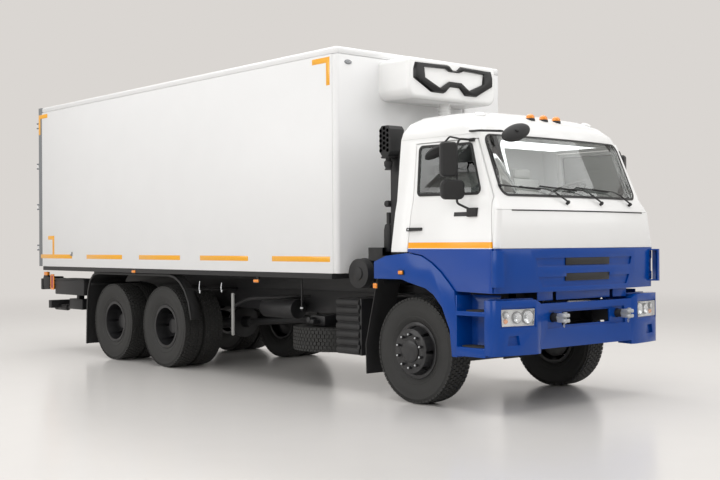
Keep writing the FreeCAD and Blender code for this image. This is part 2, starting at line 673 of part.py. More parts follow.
def make_portal():
    """Steel door frame with hinge lugs and pins at its rear corners."""
    body = new_body("portal")
    sketch = sketch_on(body, "portal_outline", "YZ_Plane", BOX_REAR)
    half = d.box_half_width
    outline(sketch, [(-half, d.box_bottom_z), (half, d.box_bottom_z), (half, d.box_top_z),
                     (-half, d.box_top_z)])
    post = half - d.portal_width
    outline(sketch, [(-post, d.box_bottom_z + d.portal_sill), (post, d.box_bottom_z + d.portal_sill),
                     (post, d.box_top_z - d.portal_header), (-post, d.box_top_z - d.portal_header)])
    pad(body, "portal_pad", sketch, d.portal_depth)
    lugs = []
    for i in range(int(float(d.door_hinge_count))):
        z = hinge_height(i)
        low = z - d.hinge_half - d.hinge_lug - d.running_gap
        for part, lug_z in (("low", low), ("high", z + d.hinge_half + d.running_gap)):
            lugs.append(rod("lug_%s_%d" % (part, i), "Z", HINGE_X, HINGE_Y, lug_z,
                            d.door_hinge_radius, d.hinge_lug))
            lugs.append(block("lug_web_%s_%d" % (part, i), HINGE_X, HINGE_Y - d.door_hinge_radius,
                              lug_z, d.hinge_standoff, d.door_hinge_radius * 2 - 10, d.hinge_lug))
        lugs.append(rod("hinge_pin_%d" % i, "Z", HINGE_X, HINGE_Y, low, d.hinge_pin_radius,
                        (d.hinge_half + d.hinge_lug + d.running_gap) * 2))
    left = joined("portal_lugs_left", lugs)
    return joined("rear_portal", [body, left, mirrored("portal_lugs_right", left)])


def make_rear_door(name, side):
    """Insulated leaf with hinge straps; built on the left and mirrored to the right."""
    leaf = block(name + "_leaf", BOX_REAR, d.leaf_gap, LEAF_LOW, d.door_thickness,
                 LEAF_OUT - d.leaf_gap, LEAF_HIGH - LEAF_LOW)
    return leaf


def make_door_gear(name):
    """Hinge straps, lock rods, guides and handles of the left leaf."""
    pieces = []
    bore = d.hinge_pin_radius + d.pin_fit
    for i in range(int(float(d.door_hinge_count))):
        z = hinge_height(i)
        low = z - d.hinge_half
        strap = prism("%s_strap_%d" % (name, i), "XY_Plane", low, d.hinge_half * 2, [
            (HINGE_X, HINGE_Y - d.door_hinge_radius), (HINGE_X, HINGE_Y),
            (BOX_REAR - 1, HINGE_Y - 12), (BOX_REAR - 1, LEAF_OUT), (BOX_REAR, LEAF_OUT),
            (BOX_REAR, LEAF_OUT - d.strap_reach), (BOX_REAR - 8, LEAF_OUT - d.strap_reach),
            (BOX_REAR - 12, HINGE_Y - 40)])
        barrel = rod("%s_barrel_%d" % (name, i), "Z", HINGE_X, HINGE_Y, low, d.door_hinge_radius,
                     d.hinge_half * 2)
        hole = rod("%s_bore_%d" % (name, i), "Z", HINGE_X, HINGE_Y, low - 5, bore,
                   d.hinge_half * 2 + 10)
        solid = joined("%s_hinge_%d" % (name, i), [strap, barrel])
        pieces.append(cut("%s_hinge_cut_%d" % (name, i), solid, [hole]))
    rod_x = BOX_REAR - d.lock_rod_radius - 8
    low = d.box_bottom_z + 30
    for i, y in enumerate((d.lock_rod_inner, d.lock_rod_outer)):
        pieces.append(rod("%s_rod_%d" % (name, i), "Z", rod_x, y, low, d.lock_rod_radius,
                          d.box_top_z - 40 - low))
        for j in range(4):
            z = LEAF_LOW + 120 + (LEAF_HIGH - LEAF_LOW - 240) / 3 * j
            pieces.append(block("%s_guide_%d_%d" % (name, i, j), rod_x - 6, y - 30, z - 25,
                                BOX_REAR - rod_x + 6, Dim("60", 60), Dim("50", 50)))
        pieces.append(block("%s_handle_%d" % (name, i), rod_x - 6, y - 330, LEAF_LOW + 420,
                            Dim("12", 12), Dim("330", 330), Dim("34", 34)))
        pieces.append(block("%s_catch_%d" % (name, i), rod_x - 6, y - 300, LEAF_LOW + 410,
                            BOX_REAR - rod_x + 6, Dim("50", 50), Dim("54", 54)))
    return joined(name, pieces)


SURROUND = [
    # across (m), down from the unit's top: outer edge of the dark surround, half of it,
    # from the top notch round
    (40, 96), (105, 45), (600, 58), (626, 130), (626, 230), (360, 366), (170, 368), (80, 289)]
SURROUND_EYE = [
    # inner edge, half of it, in the same order
    (45, 122), (90, 119), (135, 94), (473, 102), (457, 217), (222, 310), (83, 228)]


def whole_outline(half, top):
    """A half outline hung from a height and its mirror image, as one closed loop."""
    half = [(y, top - drop) for y, drop in half]
    return half + [(-y, z) for y, z in reversed(half)]


def bevelled_plate(points, front, back, lean, middle):
    """Outline in Y and Z, its front face drawn in by lean towards middle."""
    def ring(x, shrink):
        spots = []
        for y, z in points:
            reach = math.hypot(y, z - middle)
            keep = (reach - shrink) / reach
            spots.append(Vec(x, y * keep, middle + (z - middle) * keep))
        return Part.makePolygon(spots + spots[:1])
    return Part.makeLoft([ring(back, 0), ring(front, lean)], True, True)


def make_unit():
    """Cooling unit on the front wall: rounded housing with a dark surround and pipes below."""
    wall = float(BOX_FRONT)
    front = wall + size("unit_depth")
    half = size("unit_half_width")
    high = size("box_top_z") - size("unit_drop")
    low = high - size("unit_height")
    housing = Part.makeBox(front - wall, 2 * half, high - low, Vec(wall, -half, low))
    rounds = {"low": size("unit_low_radius"), "high": size("unit_top_radius"),
              "front": size("unit_front_radius")}
    along = [e for e in housing.Edges if abs(e.BoundBox.XLength - (front - wall)) < 1]
    lower = [e for e in along if e.BoundBox.ZMax < low + 1]
    upper = [e for e in along if e.BoundBox.ZMin > high - 1]
    housing = housing.makeFillet(rounds["low"], lower)
    upper = [e for e in housing.Edges if abs(e.BoundBox.XLength - (front - wall)) < 1
             and e.BoundBox.ZMin > high - 1 and abs(e.BoundBox.YMin) > half - 1]
    housing = housing.makeFillet(rounds["high"], upper)
    nose = [e for e in housing.Edges if e.BoundBox.XMin > front - 0.5]
    housing = housing.makeFillet(rounds["front"], nose)
    depth = size("surround_depth")
    outer = bevelled_plate(whole_outline(SURROUND, high), front + depth, front, depth * 0.8,
                           high - size("surround_centre_drop"))
    eye = bevelled_plate(whole_outline(SURROUND_EYE, high), front + depth + 2, front - 2,
                         -depth * 0.5, high - size("eye_centre_drop"))
    node("unit_surround", shaped("unit_surround_frame", outer.cut(eye)))
    duct = Part.makeCylinder(size("drain_radius"), 330, Vec(wall + 240, 95, low - 328))
    for i in range(9):
        duct = duct.fuse(Part.makeCylinder(size("drain_radius") + 8, 14,
                                           Vec(wall + 240, 95, low - 320 + 34 * i)))
    foot = Part.makeBox(260, 90, 60, Vec(wall, 50, low - 328))
    hose = swept_hose([(wall + 60, 600, low + 10), (wall + 60, 600, low - 70), (wall + 60, 770, low - 70),
                       (wall + 60, 770, low - 330), (wall, 770, low - 330)],
                      size("hose_radius"), 70)
    unit = housing.fuse([duct, foot, hose])
    node("cooling_unit", shaped("unit_housing", unit.removeSplitter()))


def swept_hose(points, radius, bend):
    """Round hose along straight runs joined by tangent arcs."""
    spots = [Vec(*p) for p in points]
    edges = []
    start = spots[0]
    for before, corner, after in zip(spots, spots[1:], spots[2:]):
        back = (before - corner).normalize()
        ahead = (after - corner).normalize()
        angle = back.getAngle(ahead)
        longest = min(before.distanceToPoint(corner), after.distanceToPoint(corner)) * 0.48
        reach = min(bend / math.tan(angle / 2), longest)
        a = corner + back * reach
        b = corner + ahead * reach
        turn = reach * math.tan(angle / 2)
        centre = corner + (back + ahead).normalize() * (turn / math.sin(angle / 2))
        middle = centre + (corner - centre).normalize() * turn
        if start.distanceToPoint(a) > 0.01:
            edges.append(Part.makeLine(start, a))
        edges.append(Part.Arc(a, middle, b).toShape())
        start = b
    edges.append(Part.makeLine(start, spots[-1]))
    path = Part.Wire(edges)
    ring = Part.Wire([Part.makeCircle(radius, spots[0], spots[1] - spots[0])])
    return path.makePipeShell([ring], True, True)


# ---------------------------------------------------------------- cab
def size(name):
    return float(sheet.get(name))


def plate_y(points, low, high):
    """Polygon in X and Z, thickened from y = low to y = high."""
    wire = Part.makePolygon([Vec(x, low, z) for x, z in points + points[:1]])
    return Part.Face(wire).extrude(Vec(0, high - low, 0))


def plate_x(points, low, high):
    """Polygon in Y and Z, thickened from x = low to x = high."""
    wire = Part.makePolygon([Vec(low, y, z) for y, z in points + points[:1]])
    return Part.Face(wire).extrude(Vec(high - low, 0, 0))


def plate_z(points, low, high):
    """Polygon in X and Y, thickened from z = low to z = high."""
    wire = Part.makePolygon([Vec(x, y, low) for x, y in points + points[:1]])
    return Part.Face(wire).extrude(Vec(0, 0, high - low))


def softened(plate, radius, axis):
    """Rounds those edges of a plate that run along its thickness."""
    lengths = {"X": "XLength", "Y": "YLength"}
    wide = getattr(plate.BoundBox, lengths[axis])
    edges = [e for e in plate.Edges if abs(getattr(e.BoundBox, lengths[axis]) - wide) < 0.5
             and e.Length < wide + 0.5]
    return plate.makeFillet(radius, edges)


def cab_levels():
    """Height, corner reach, half width, corner radius and front bow up the cab.

    Reaches are measured forward from the front axle.
    """
    return [(size("cab_bottom_z"), 1150, size("cab_half_width"), 90, 100),
            (size("stripe_z"), 1160, size("cab_half_width"), 90, 100),
            (size("hood_top_z"), 1135, 1205, 70, 95), (2045, 1052, 1177, 60, 80),
            (size("gutter_z"), 800, 1115, 55, 70)]


def plan_wire(z, front, rear, half, corner, bow, inset):
    """Plan outline with a straight rear and sides, rounded corners and a bowed front."""
    axle = size("front_axle_x")
    front = axle + front - inset
    rear = axle + rear + inset
    half = half - inset
    corner = max(corner - inset, 12)
    turn = corner * (1 - math.sqrt(0.5))
    a = Vec(rear, half, z)
    b = Vec(front - corner, half, z)
    m = Vec(front - turn, half - turn, z)
    c = Vec(front, half - corner, z)
    top = Vec(front + bow, 0, z)
    flip = lambda p: Vec(p.x, -p.y, p.z)
    return Part.Wire([
        Part.makeLine(a, b), Part.Arc(b, m, c).toShape(), Part.Arc(c, top, flip(c)).toShape(),
        Part.Arc(flip(c), flip(m), flip(b)).toShape(), Part.makeLine(flip(b), flip(a)),
        Part.makeLine(flip(a), a)])


def beyond(before, last, reach):
    """One more level, in line with the two before it."""
    share = reach / abs(last[0] - before[0])
    return tuple(b + (b - a) * share for a, b in zip(before, last))


def cab_solid(inset, low=0, high=0):
    """The cab's outer form below the gutter, shrunk by inset."""
    levels = cab_levels()
    if low:
        levels.insert(0, beyond(levels[1], levels[0], low))
    if high:
        levels.append(beyond(levels[-2], levels[-1], high))
    rear = size("cab_rear_x")
    wires = [plan_wire(z, front, rear, half, corner, bow, inset)
             for z, front, half, corner, bow in levels]
    return Part.makeLoft(wires, True, True)


def arch_points(gap=0):
    """Rounded edge above the front wheel, from the rear to the front, from the front axle."""
    return [(-19, 1515 + gap), (182 + gap * 0.3, 1484 + gap), (324 + gap * 0.6, 1416 + gap * 0.8),
            (446 + gap * 0.7, 1331 + gap * 0.7), (549 + gap * 0.8, 1234 + gap * 0.6),
            (634 + gap, 1150)]


def under_cab(gap):
    """All that is cut from below the cab, over the front wheel."""
    return [(-700, 900), (-700, 1515 + gap)] + arch_points(gap) + [(660 + gap, 900)]


def door_points(gap):
    """Door outline in X and Z from the front axle, shrunk by gap."""
    front = size("door_front_x")
    rear = size("door_rear_x")
    top = size("door_top_z") - gap
    low = size("cab_bottom_z") - (30 if gap < 0 else 0)
    points = [(front - gap, low), (front - gap, size("stripe_z")), (1040 - gap, 2042),
              (801 - gap, top), (rear + gap, top)]
    if gap < 0:
        return points + [(rear + gap, low)]
    return points + [(rear + gap, 1515 + size("arch_gap"))] + arch_points(size("arch_gap"))[1:]


def window_points(grow):
    return [(47 - grow, 2100 - grow), (892 + grow, 2089 - grow), (720 + grow, 2562 + grow),
            (31 - grow, 2573 + grow)]


def shift(points):
    axle = size("front_axle_x")
    return [(axle + x, z) for x, z in points]


def at(x, y, z):
    return Vec(size("front_axle_x") + x, y, z)


GROOVES = [
    # top, bottom, half width at the top and bottom, top and bottom of the dark insert
    (1465, 1385, 760, 735, 1465, 1395),
    (1283, 1190, 720, 665, 1314, 1240)]


def duct_keep(axle):
    """Inboard end of the corner air ducts, which stays solid."""
    return Part.makeBox(600, 2 * 1150, 900, Vec(axle + 800, -1150, 900))


def make_cab():
    axle = size("front_axle_x")
    wall = size("cab_wall")
    glass = size("glass_thickness")
    seam = size("cab_seam_gap") / 2
    wide = 1600
    whole = cab_solid(0)
    hollow = cab_solid(wall, 50, 50)
    skin = whole.cut(hollow)
    pane = cab_solid(3).cut(cab_solid(3 + glass, 50, 50))
    skin = skin.cut(plate_y(shift(under_cab(size("arch_gap"))), -wide, wide))
    seam_x = axle + size("door_front_x") + seam
    hood_top = size("hood_top_z")
    stripe = size("stripe_z")
    screen = softened(plate_x([(-1040, 2078), (1040, 2078), (1022, 2650), (-1022, 2650)],
                              axle + 600, axle + 1400), size("screen_corner"), "X")
    rear_pane = plate_x([(-460, 2130), (460, 2130), (460, 2520), (-460, 2520)],
                        axle - 600, axle)
    hinge_x = axle + size("door_front_x")
    hinge_y = size("cab_half_width") - 4
    openings = []
    lugs = []
    side, low, high = RIGHT, -wide, -size("door_reach")
    corner = size("window_corner")
    opening = plate_y(shift(door_points(-seam)), low, high)
    panel = plate_y(shift(door_points(seam)), low, high)
    window = softened(plate_y(shift(window_points(0)), low, high), corner, "Y")
    door = skin.common(panel).cut(window)
    frame = softened(plate_y(shift(window_points(-1)), low, high), corner - 1, "Y")
    y = side * hinge_y
    pin = size("cab_hinge_pin_radius")
    barrel = size("cab_hinge_radius")
    half = size("cab_hinge_half")
    for z in (size("cab_hinge_low_z"), size("cab_hinge_high_z")):
        pocket = Part.makeCylinder(barrel + 4, half * 6 + 12, Vec(hinge_x, y, z - half * 3 - 6))
        openings.append(pocket)
        arm = Part.makeBox(60, wall, half * 2, Vec(hinge_x - 60, y, z - half))
        knuckle = Part.makeCylinder(barrel, half * 2, Vec(hinge_x, y, z - half))
        door = door.cut(pocket).fuse(arm.common(whole).fuse(knuckle))
        door = door.cut(Part.makeCylinder(pin + size("pin_fit"), half * 2, Vec(hinge_x, y, z - half)))
        for low_z in (z - half * 2.9, z + half + 2):
            ear = Part.makeCylinder(barrel, half * 1.8, Vec(hinge_x, y, low_z))
            leg = Part.makeBox(14, wall + 22, half * 1.8, Vec(hinge_x, y, low_z))
            lugs.append(ear.fuse(leg.common(whole)))
        lugs.append(Part.makeCylinder(pin, half * 5.6, Vec(hinge_x, y, z - half * 2.8)))
    openings.append(opening)
    door = door.removeSplitter()
    glazing = pane.common(frame)
    for name, side in SIDES:
        leaf, sheet_glass = [(q.mirror(Vec(), Vec(0, 1, 0)) if side == LEFT else q)
                             for q in (door, glazing)]
        node("door_" + name, shaped("door_%s_panel" % name, leaf))
        node("door_glass_" + name, shaped("door_%s_pane" % name, sheet_glass))
    openings += [q.mirror(Vec(), Vec(0, 1, 0)) for q in openings]
    lugs += [q.mirror(Vec(), Vec(0, 1, 0)) for q in lugs]
    for opening in openings:
        skin = skin.cut(opening)
    cut_x = seam_x - seam * 2
    front = Part.makeBox(400, 2 * wide, stripe - 900, Vec(cut_x, -wide, 900))
    upper = Part.makeBox(400, 2 * wide, hood_top - stripe - 3, Vec(cut_x, -wide, stripe + 3))
    grille = skin.common(front).cut(Part.makeCompound(lugs))
    inserts = []
    shallow = cab_solid(size("groove_depth"), 50, 50)
    for top, low_z, half_top, half_low, plate_top, plate_low in GROOVES:
        slot = plate_x([(-half_top, top), (half_top, top), (half_low, low_z), (-half_low, low_z)],
                       axle + 900, axle + 1500).cut(shallow)
        grille = grille.cut(slot)
        mesh = plate_x([(-345, plate_top), (345, plate_top), (345, plate_low), (-345, plate_low)],
                       axle + 900, axle + 1500)
        grille = grille.cut(mesh.cut(shallow))
        inserts.append(mesh.common(cab_solid(6, 50, 50)).cut(shallow))
    duct = plate_z([(axle + x, y) for x, y in ((1118, 1150), (1300, 1130), (1300, 1400), (1118, 1400))],
                   size("duct_low_z"), size("duct_high_z"))
    grille = grille.cut(duct.cut(cab_solid(20, 50, 50)).cut(duct_keep(axle)))
    for side in (1, -1):
        blade = [(1120, 1266), (1120, 1284), (1150, 1296), (1186, 1290), (1214, 1262), (1226, 1218),
                 (1214, 1214), (1203, 1254), (1180, 1277), (1150, 1284), (1124, 1268)]
        blade = [(axle + x, side * y) for x, y in blade]
        cap = [(1120, 1240), (1120, 1284), (1150, 1296), (1186, 1290), (1214, 1262), (1226, 1218),
               (1150, 1170)]
        cap = [(axle + x, side * y) for x, y in cap]
        low_z, high_z = size("duct_low_z"), size("duct_high_z")
        parts = [plate_z(blade, low_z, high_z), plate_z(cap, low_z - 14, low_z),
                 plate_z(cap, high_z, high_z + 14)]
        grille = grille.fuse([q.cut(cab_solid(20, 50, 50)) for q in parts])
    skirt_x, half = axle + size("skirt_x"), size("skirt_half")
    thick = size("skirt_thickness")
    low_z, high_z = size("skirt_low_z"), size("cab_bottom_z")
    skirt = Part.makeBox(thick, 2 * half, high_z + 10 - low_z, Vec(skirt_x, -half, low_z))
    shelf = plate_z([(skirt_x, -half), (axle + 1400, -half), (axle + 1400, half), (skirt_x, half)],
                    high_z, high_z + 10).common(cab_solid(20))
    for y in (size("frame_half_width") - 8, -size("pivot_y") - 8):
        notch = Part.makeBox(60, 54, 400, Vec(skirt_x - 20, y, 900))
        skirt, shelf = skirt.cut(notch), shelf.cut(notch)
    grille = grille.fuse([skirt, shelf])
    node("grille_panel", shaped("grille", grille.removeSplitter()))
    node("front_panel", shaped("front_skin", skin.common(upper)))
    skin = skin.cut(Part.makeBox(400, 2 * wide, hood_top + 3 - 900, Vec(cut_x, -wide, 900)))
    panes = [pane.common(screen), pane.common(rear_pane)]
    node("cab_glass", shaped("cab_panes", Part.makeCompound([p for s in panes for p in s.Solids])))
    skin = skin.cut(screen).cut(rear_pane)
    hoop = cab_solid(-5).cut(cab_solid(14, 60, 60))
    ring = softened(plate_x([(-1064, 2054), (1064, 2054), (1045, 2664), (-1045, 2664)],
                            axle + 600, axle + 1400), size("screen_corner") + 20, "X")
    hoop = hoop.common(ring).cut(screen).cut(skin)
    trim = [q for thing in [hoop] + inserts for q in thing.Solids]
    firewall = Part.makeBox(16, 2384, hood_top + 60 - size("footwell_z"),
                            Vec(axle + 1070, -1192, size("footwell_z")))
    posts = [Part.makeBox(52, 90, hood_top + 20 - size("footwell_z"),
                          Vec(axle + 1070, y, size("footwell_z"))) for y in (1115, -1205)]
    pan = plate_y(shift([(size("cab_rear_x"), 1547), (560, 1547), (700, 1184), (1072, 1184),
                         (1072, 1209), (716, 1209), (576, 1572), (size("cab_rear_x"), 1572)]),
                  -1300, 1300)
    inside = cab_solid(wall)
    pieces = [p.common(inside) for p in [firewall, pan] + posts]
    door_room = plate_y(shift(door_points(-seam)), -wide, wide).cut(cab_solid(wall + 8, 50, 50))
    pieces = [p.cut(door_room) for p in pieces]
    shell = skin.fuse(pieces + lugs)
    for y in (size("pivot_y"), -size("pivot_y") - size("pivot_thickness")):
        lug = plate_y(shift([(1080, 1184), (size("tilt_pivot_x"), size("tilt_pivot_z") - 26),
                             (size("tilt_pivot_x") + 24, size("tilt_pivot_z") + 6),
                             (size("tilt_pivot_x"), size("tilt_pivot_z") + 28), (1080, 1290)]),
                      y, y + size("pivot_thickness"))
        shell = shell.fuse(lug)
    for y in (size("pivot_y"), -size("pivot_y") - size("pivot_thickness")):
        shell = shell.cut(Part.makeCylinder(size("pivot_radius") + size("pin_fit"), 200,
                                            at(size("tilt_pivot_x"), y - 60, size("tilt_pivot_z")),
                                            Vec(0, 1, 0)))
    node("cab_shell", shaped("shell", shell.removeSplitter()))
    cap = make_roof()
    trim += [q.cut(cap) for q in make_front_mirror(axle)]
    node("cab_trim", shaped("screen_gasket", Part.makeCompound(trim)))


def make_front_mirror(axle):
    """Oval mirror above the windscreen on its arm from the gutter."""
    arm = swept_hose([(axle + 690, -1105, 2690), (axle + 860, -1150, 2680), (axle + 1120, -960, 2664)],
                     11, 60)
    turn = FreeCAD.Rotation(Vec(0, 0, 1), 60).multiply(FreeCAD.Rotation(Vec(1, 0, 0), 62))
    disc = oval_disc(95, 2.1, 30, FreeCAD.Placement(at(1105, -915, 2650), turn))
    return [arm.fuse(disc)]


def make_roof():
    """Moulded roof cap over the gutter, with its row of lamps."""
    levels = [(size("gutter_z"), 803, 0, 1119, 110, 72), (2740, 775, 20, 1105, 150, 72),
              (2830, 690, 60, 1040, 190, 70), (2900, 560, 120, 900, 240, 60),
              (2950, 330, 250, 600, 220, 50)]
    rear = size("cab_rear_x")
    outer = []
    inner = []
    for z, front, back, half, corner, bow in levels:
        outer.append(plan_wire(z, front, rear + back, half, corner, bow, 0))
        inner.append(plan_wire(z - 24, front, rear + back, half, corner, bow, 24))
    cap = Part.makeLoft(outer, True, True)
    roof = cap.cut(Part.makeLoft(inner, True, True))
    node("cab_roof", shaped("roof_cap", roof))
    lamps = [Part.makeBox(90, 110, 110, at(640, y - 55, 2810)).cut(cap) for y in (-205, 0, 205)]
    node("roof_lamps", shaped("roof_lamp_row", Part.makeCompound(lamps)))
    return roof


def make_cab_inside():
    dash = prism("dash_body", "XZ_Plane", Dim("-1060", -1060), Dim("2120", 2120), [
        (FRONT_X + 640, Dim("1760", 1760)), (FRONT_X + 1070, Dim("1760", 1760)),
        (FRONT_X + 1070, Dim("1960", 1960)), (FRONT_X + 960, Dim("2030", 2030)),
        (FRONT_X + 720, Dim("2050", 2050)),
        (FRONT_X + 600, Dim("1960", 1960))])
    seats = []
    for name, side in SIDES:
        low = Dim("340", 340) if side == LEFT else Dim("-840", -840)
        cushion = prism("cushion_" + name, "XZ_Plane", low, Dim("500", 500), [
            (FRONT_X - 160, Dim("1700", 1700)), (FRONT_X + 340, Dim("1740", 1740)),
            (FRONT_X + 340, Dim("1880", 1880)), (FRONT_X - 40, Dim("1860", 1860)),
            (FRONT_X - 120, Dim("2440", 2440)), (FRONT_X - 210, Dim("2440", 2440))])
        base = block("seat_base_" + name, FRONT_X - 100, low + 60, d.cab_floor_top,
                     Dim("360", 360), Dim("380", 380), Dim("135", 135))
        seats.append(joined("seat_" + name, [cushion, base]))
    column = rod("column", "Z", 0, 0, 0, Dim("28", 28), Dim("330", 330))
    ring = doc.addObject("Part::Torus", "wheel_ring")
    ring.Radius1 = 215
    ring.Radius2 = 14
    hub = rod("wheel_hub", "Z", 0, 0, -20, Dim("60", 60), Dim("30", 30))
    spoke = block("wheel_spoke", -215, -18, -10, Dim("430", 430), Dim("36", 36), Dim("12", 12))
    place(column, 0, 0, -330)
    place(ring, 0, 0, 0)
    wheel = joined("steering_wheel_set", [ring, hub, spoke, column])
    wheel.Placement = FreeCAD.Placement(Vec(), FreeCAD.Rotation(Vec(0, 1, 0), -25))
    place(wheel, FRONT_X + 500, Dim("590", 590), Dim("2150", 2150))
    node("cab_interior", joined("interior", [dash, wheel] + seats))


MIRROR_HEADS = [
    # name, centre along the head from the tube, half width, low z, high z, corner radius
    ("main", 82, 84, 2244, 2574, 40), ("wide", 45, 115, 2026, 2214, 55)]


def mirror_head(x, y, centre, half, low, high, corner):
    """Rounded mirror housing, turned so that its outer end lies further back."""
    thick = size("mirror_thickness")
    head = Part.makeBox(thick, 2 * half, high - low, Vec(-thick / 2, -centre - half, low))
    head = head.makeFillet(corner, [e for e in head.Edges
                                    if abs(e.BoundBox.XLength - thick) < 0.5])
    head = head.makeChamfer(size("mirror_bevel"), [e for e in head.Edges
                                                   if e.BoundBox.XMin > thick / 2 - 0.5])
    head.Placement = FreeCAD.Placement(Vec(x, y, 0), FreeCAD.Rotation(
        Vec(0, 0, 1), -size("mirror_toe_in")))
    return head


def oval_disc(radius, stretch, thickness, place):
    """Oval plate about its own middle, long along X, then put in place."""
    edge = Part.Ellipse(Vec(), radius * stretch, radius).toShape()
    disc = Part.Face(Part.Wire([edge])).extrude(Vec(0, 0, thickness))
    disc.Placement = place
    return disc


def make_mirrors(name, side, door):
    """Door mirrors on their tube, with its two arms let into the door's skin."""
    x = size("front_axle_x") + size("mirror_tube_x")
    y = -size("mirror_tube_y")
    tube = swept_hose([(x + 40, -1136, 2600), (x, y + 40, 2606), (x, y, 2540), (x, y, 1990),
                       (x + 120, -1170, 1905)], size("mirror_tube_radius"), 40)
    foot = Part.makeBox(120, 60, 84, Vec(x + 60, -1236, 1862))
    clip = Part.makeBox(60, 36, 32, Vec(x + 10, -1146, 2584))
    pieces = [tube, foot, clip] + [mirror_head(x, y, *row[1:]) for row in MIRROR_HEADS]
    if side == RIGHT:
        arm = swept_hose([(x, y + 40, 2606), (x - 150, y + 60, 2640), (x - 310, y + 50, 2510)],
                         9, 40)
        turn = FreeCAD.Rotation(Vec(0, 1, 0), -20).multiply(FreeCAD.Rotation(Vec(1, 0, 0), -25))
        disc = oval_disc(60, 2.6, 26, FreeCAD.Placement(Vec(x - 320, -1256, 2490), turn))
        pieces += [arm, disc]
    whole = pieces[0].fuse(pieces[1:])
    if side == LEFT:
        whole = whole.mirror(Vec(), Vec(0, 1, 0))
    doc.recompute()
    whole = whole.cut(door.Shape)
    keep = max(whole.Solids, key=lambda one: one.Volume)
    trim = make_door_trim(side)
    return shaped("mirrors_%s_cut" % name, Part.makeCompound([keep] + trim))


def make_door_trim(side):
    """Window gasket and pull handle of a door, both on its outer skin."""
    proud = size("gasket_proud")
    wide = size("gasket_width")
    low, high = -1500, -1000
    corner = size("window_corner")
    outer = softened(plate_y(shift(window_points(wide)), low, high), corner + wide, "Y")
    inner = softened(plate_y(shift(window_points(-6)), low, high), corner - 6, "Y")
    ring = cab_solid(-proud).cut(cab_solid(0, 50, 50)).common(outer).cut(inner)
    handle = softened(plate_y(shift([(-50, 1732), (160, 1738), (160, 1768), (-50, 1768)]), low, high),
                      12, "Y")
    handle = handle.common(cab_solid(-22).cut(cab_solid(0, 50, 50)))
    solids = ring.Solids + handle.Solids
    if side == LEFT:
        solids = [q.mirror(Vec(), Vec(0, 1, 0)) for q in solids]
    return solids


BUMPER_MIDDLE = [
    # along (m) from the front axle, across: half plan of the middle part
    (1236, 0), (1236, 700)]
BUMPER_POD = [(1250, 800), (1218, 1040), (1186, 1222), (1160, 1268), (1118, 1292), (1040, 1295)]


def bumper_shape(inset):
    """Solid form of the bumper, drawn in on every side by inset."""
    axle = size("front_axle_x")
    rear = size("bumper_rear_x")
    low = size("bumper_bottom_z") + inset
    front = BUMPER_MIDDLE[1][0] - inset
    half = BUMPER_POD[-1][1] - inset
    middle = plate_z([(axle + rear, -820), (axle + front, -820), (axle + front, 820),
                      (axle + rear, 820)], low + size("bumper_middle_rise"),
                     size("bumper_middle_top") - inset)
    shape = middle
    for side in (1, -1):
        plan = [(x - inset, y - inset * 0.4) for x, y in BUMPER_POD[:-1]] + [(rear, half)]
        plan = [(rear, 760 + inset), (BUMPER_MIDDLE[1][0] - inset, 720 + inset)] + plan
        pod = plate_z([(axle + x, side * y) for x, y in plan], low,
                      size("bumper_top_z") - inset)
        slope = plate_x([(side * 600, size("bumper_middle_top") - inset - 1),
                         (side * 700, size("bumper_middle_top") - inset),
                         (side * 815, size("bumper_top_z") - inset),
                         (side * 815, 1300), (side * 600, 1300)], axle + 900, axle + 1400)
        shape = shape.fuse(pod.cut(slope))
    return shape


BUMPER_POCKETS = [
    # name, inner and outer half width, low and high z, depth
    ("recess", 0, 620, 790, 962, 24), ("step", 1000, 1150, 655, 745, 30),
    ("bay", 800, 1238, 818, 1008, 11)]


HEADLAMP = [
    # across, up: corners of the opening
    (814, 992), (1222, 992), (1212, 834), (830, 834)]


def drawn_in(points, gap):
    """Four-sided outline whose corners all move inwards by gap."""
    middle = [sum(values) / len(points) for values in zip(*points)]
    return [tuple(value - math.copysign(gap, value - centre)
                  for value, centre in zip(point, middle)) for point in points]


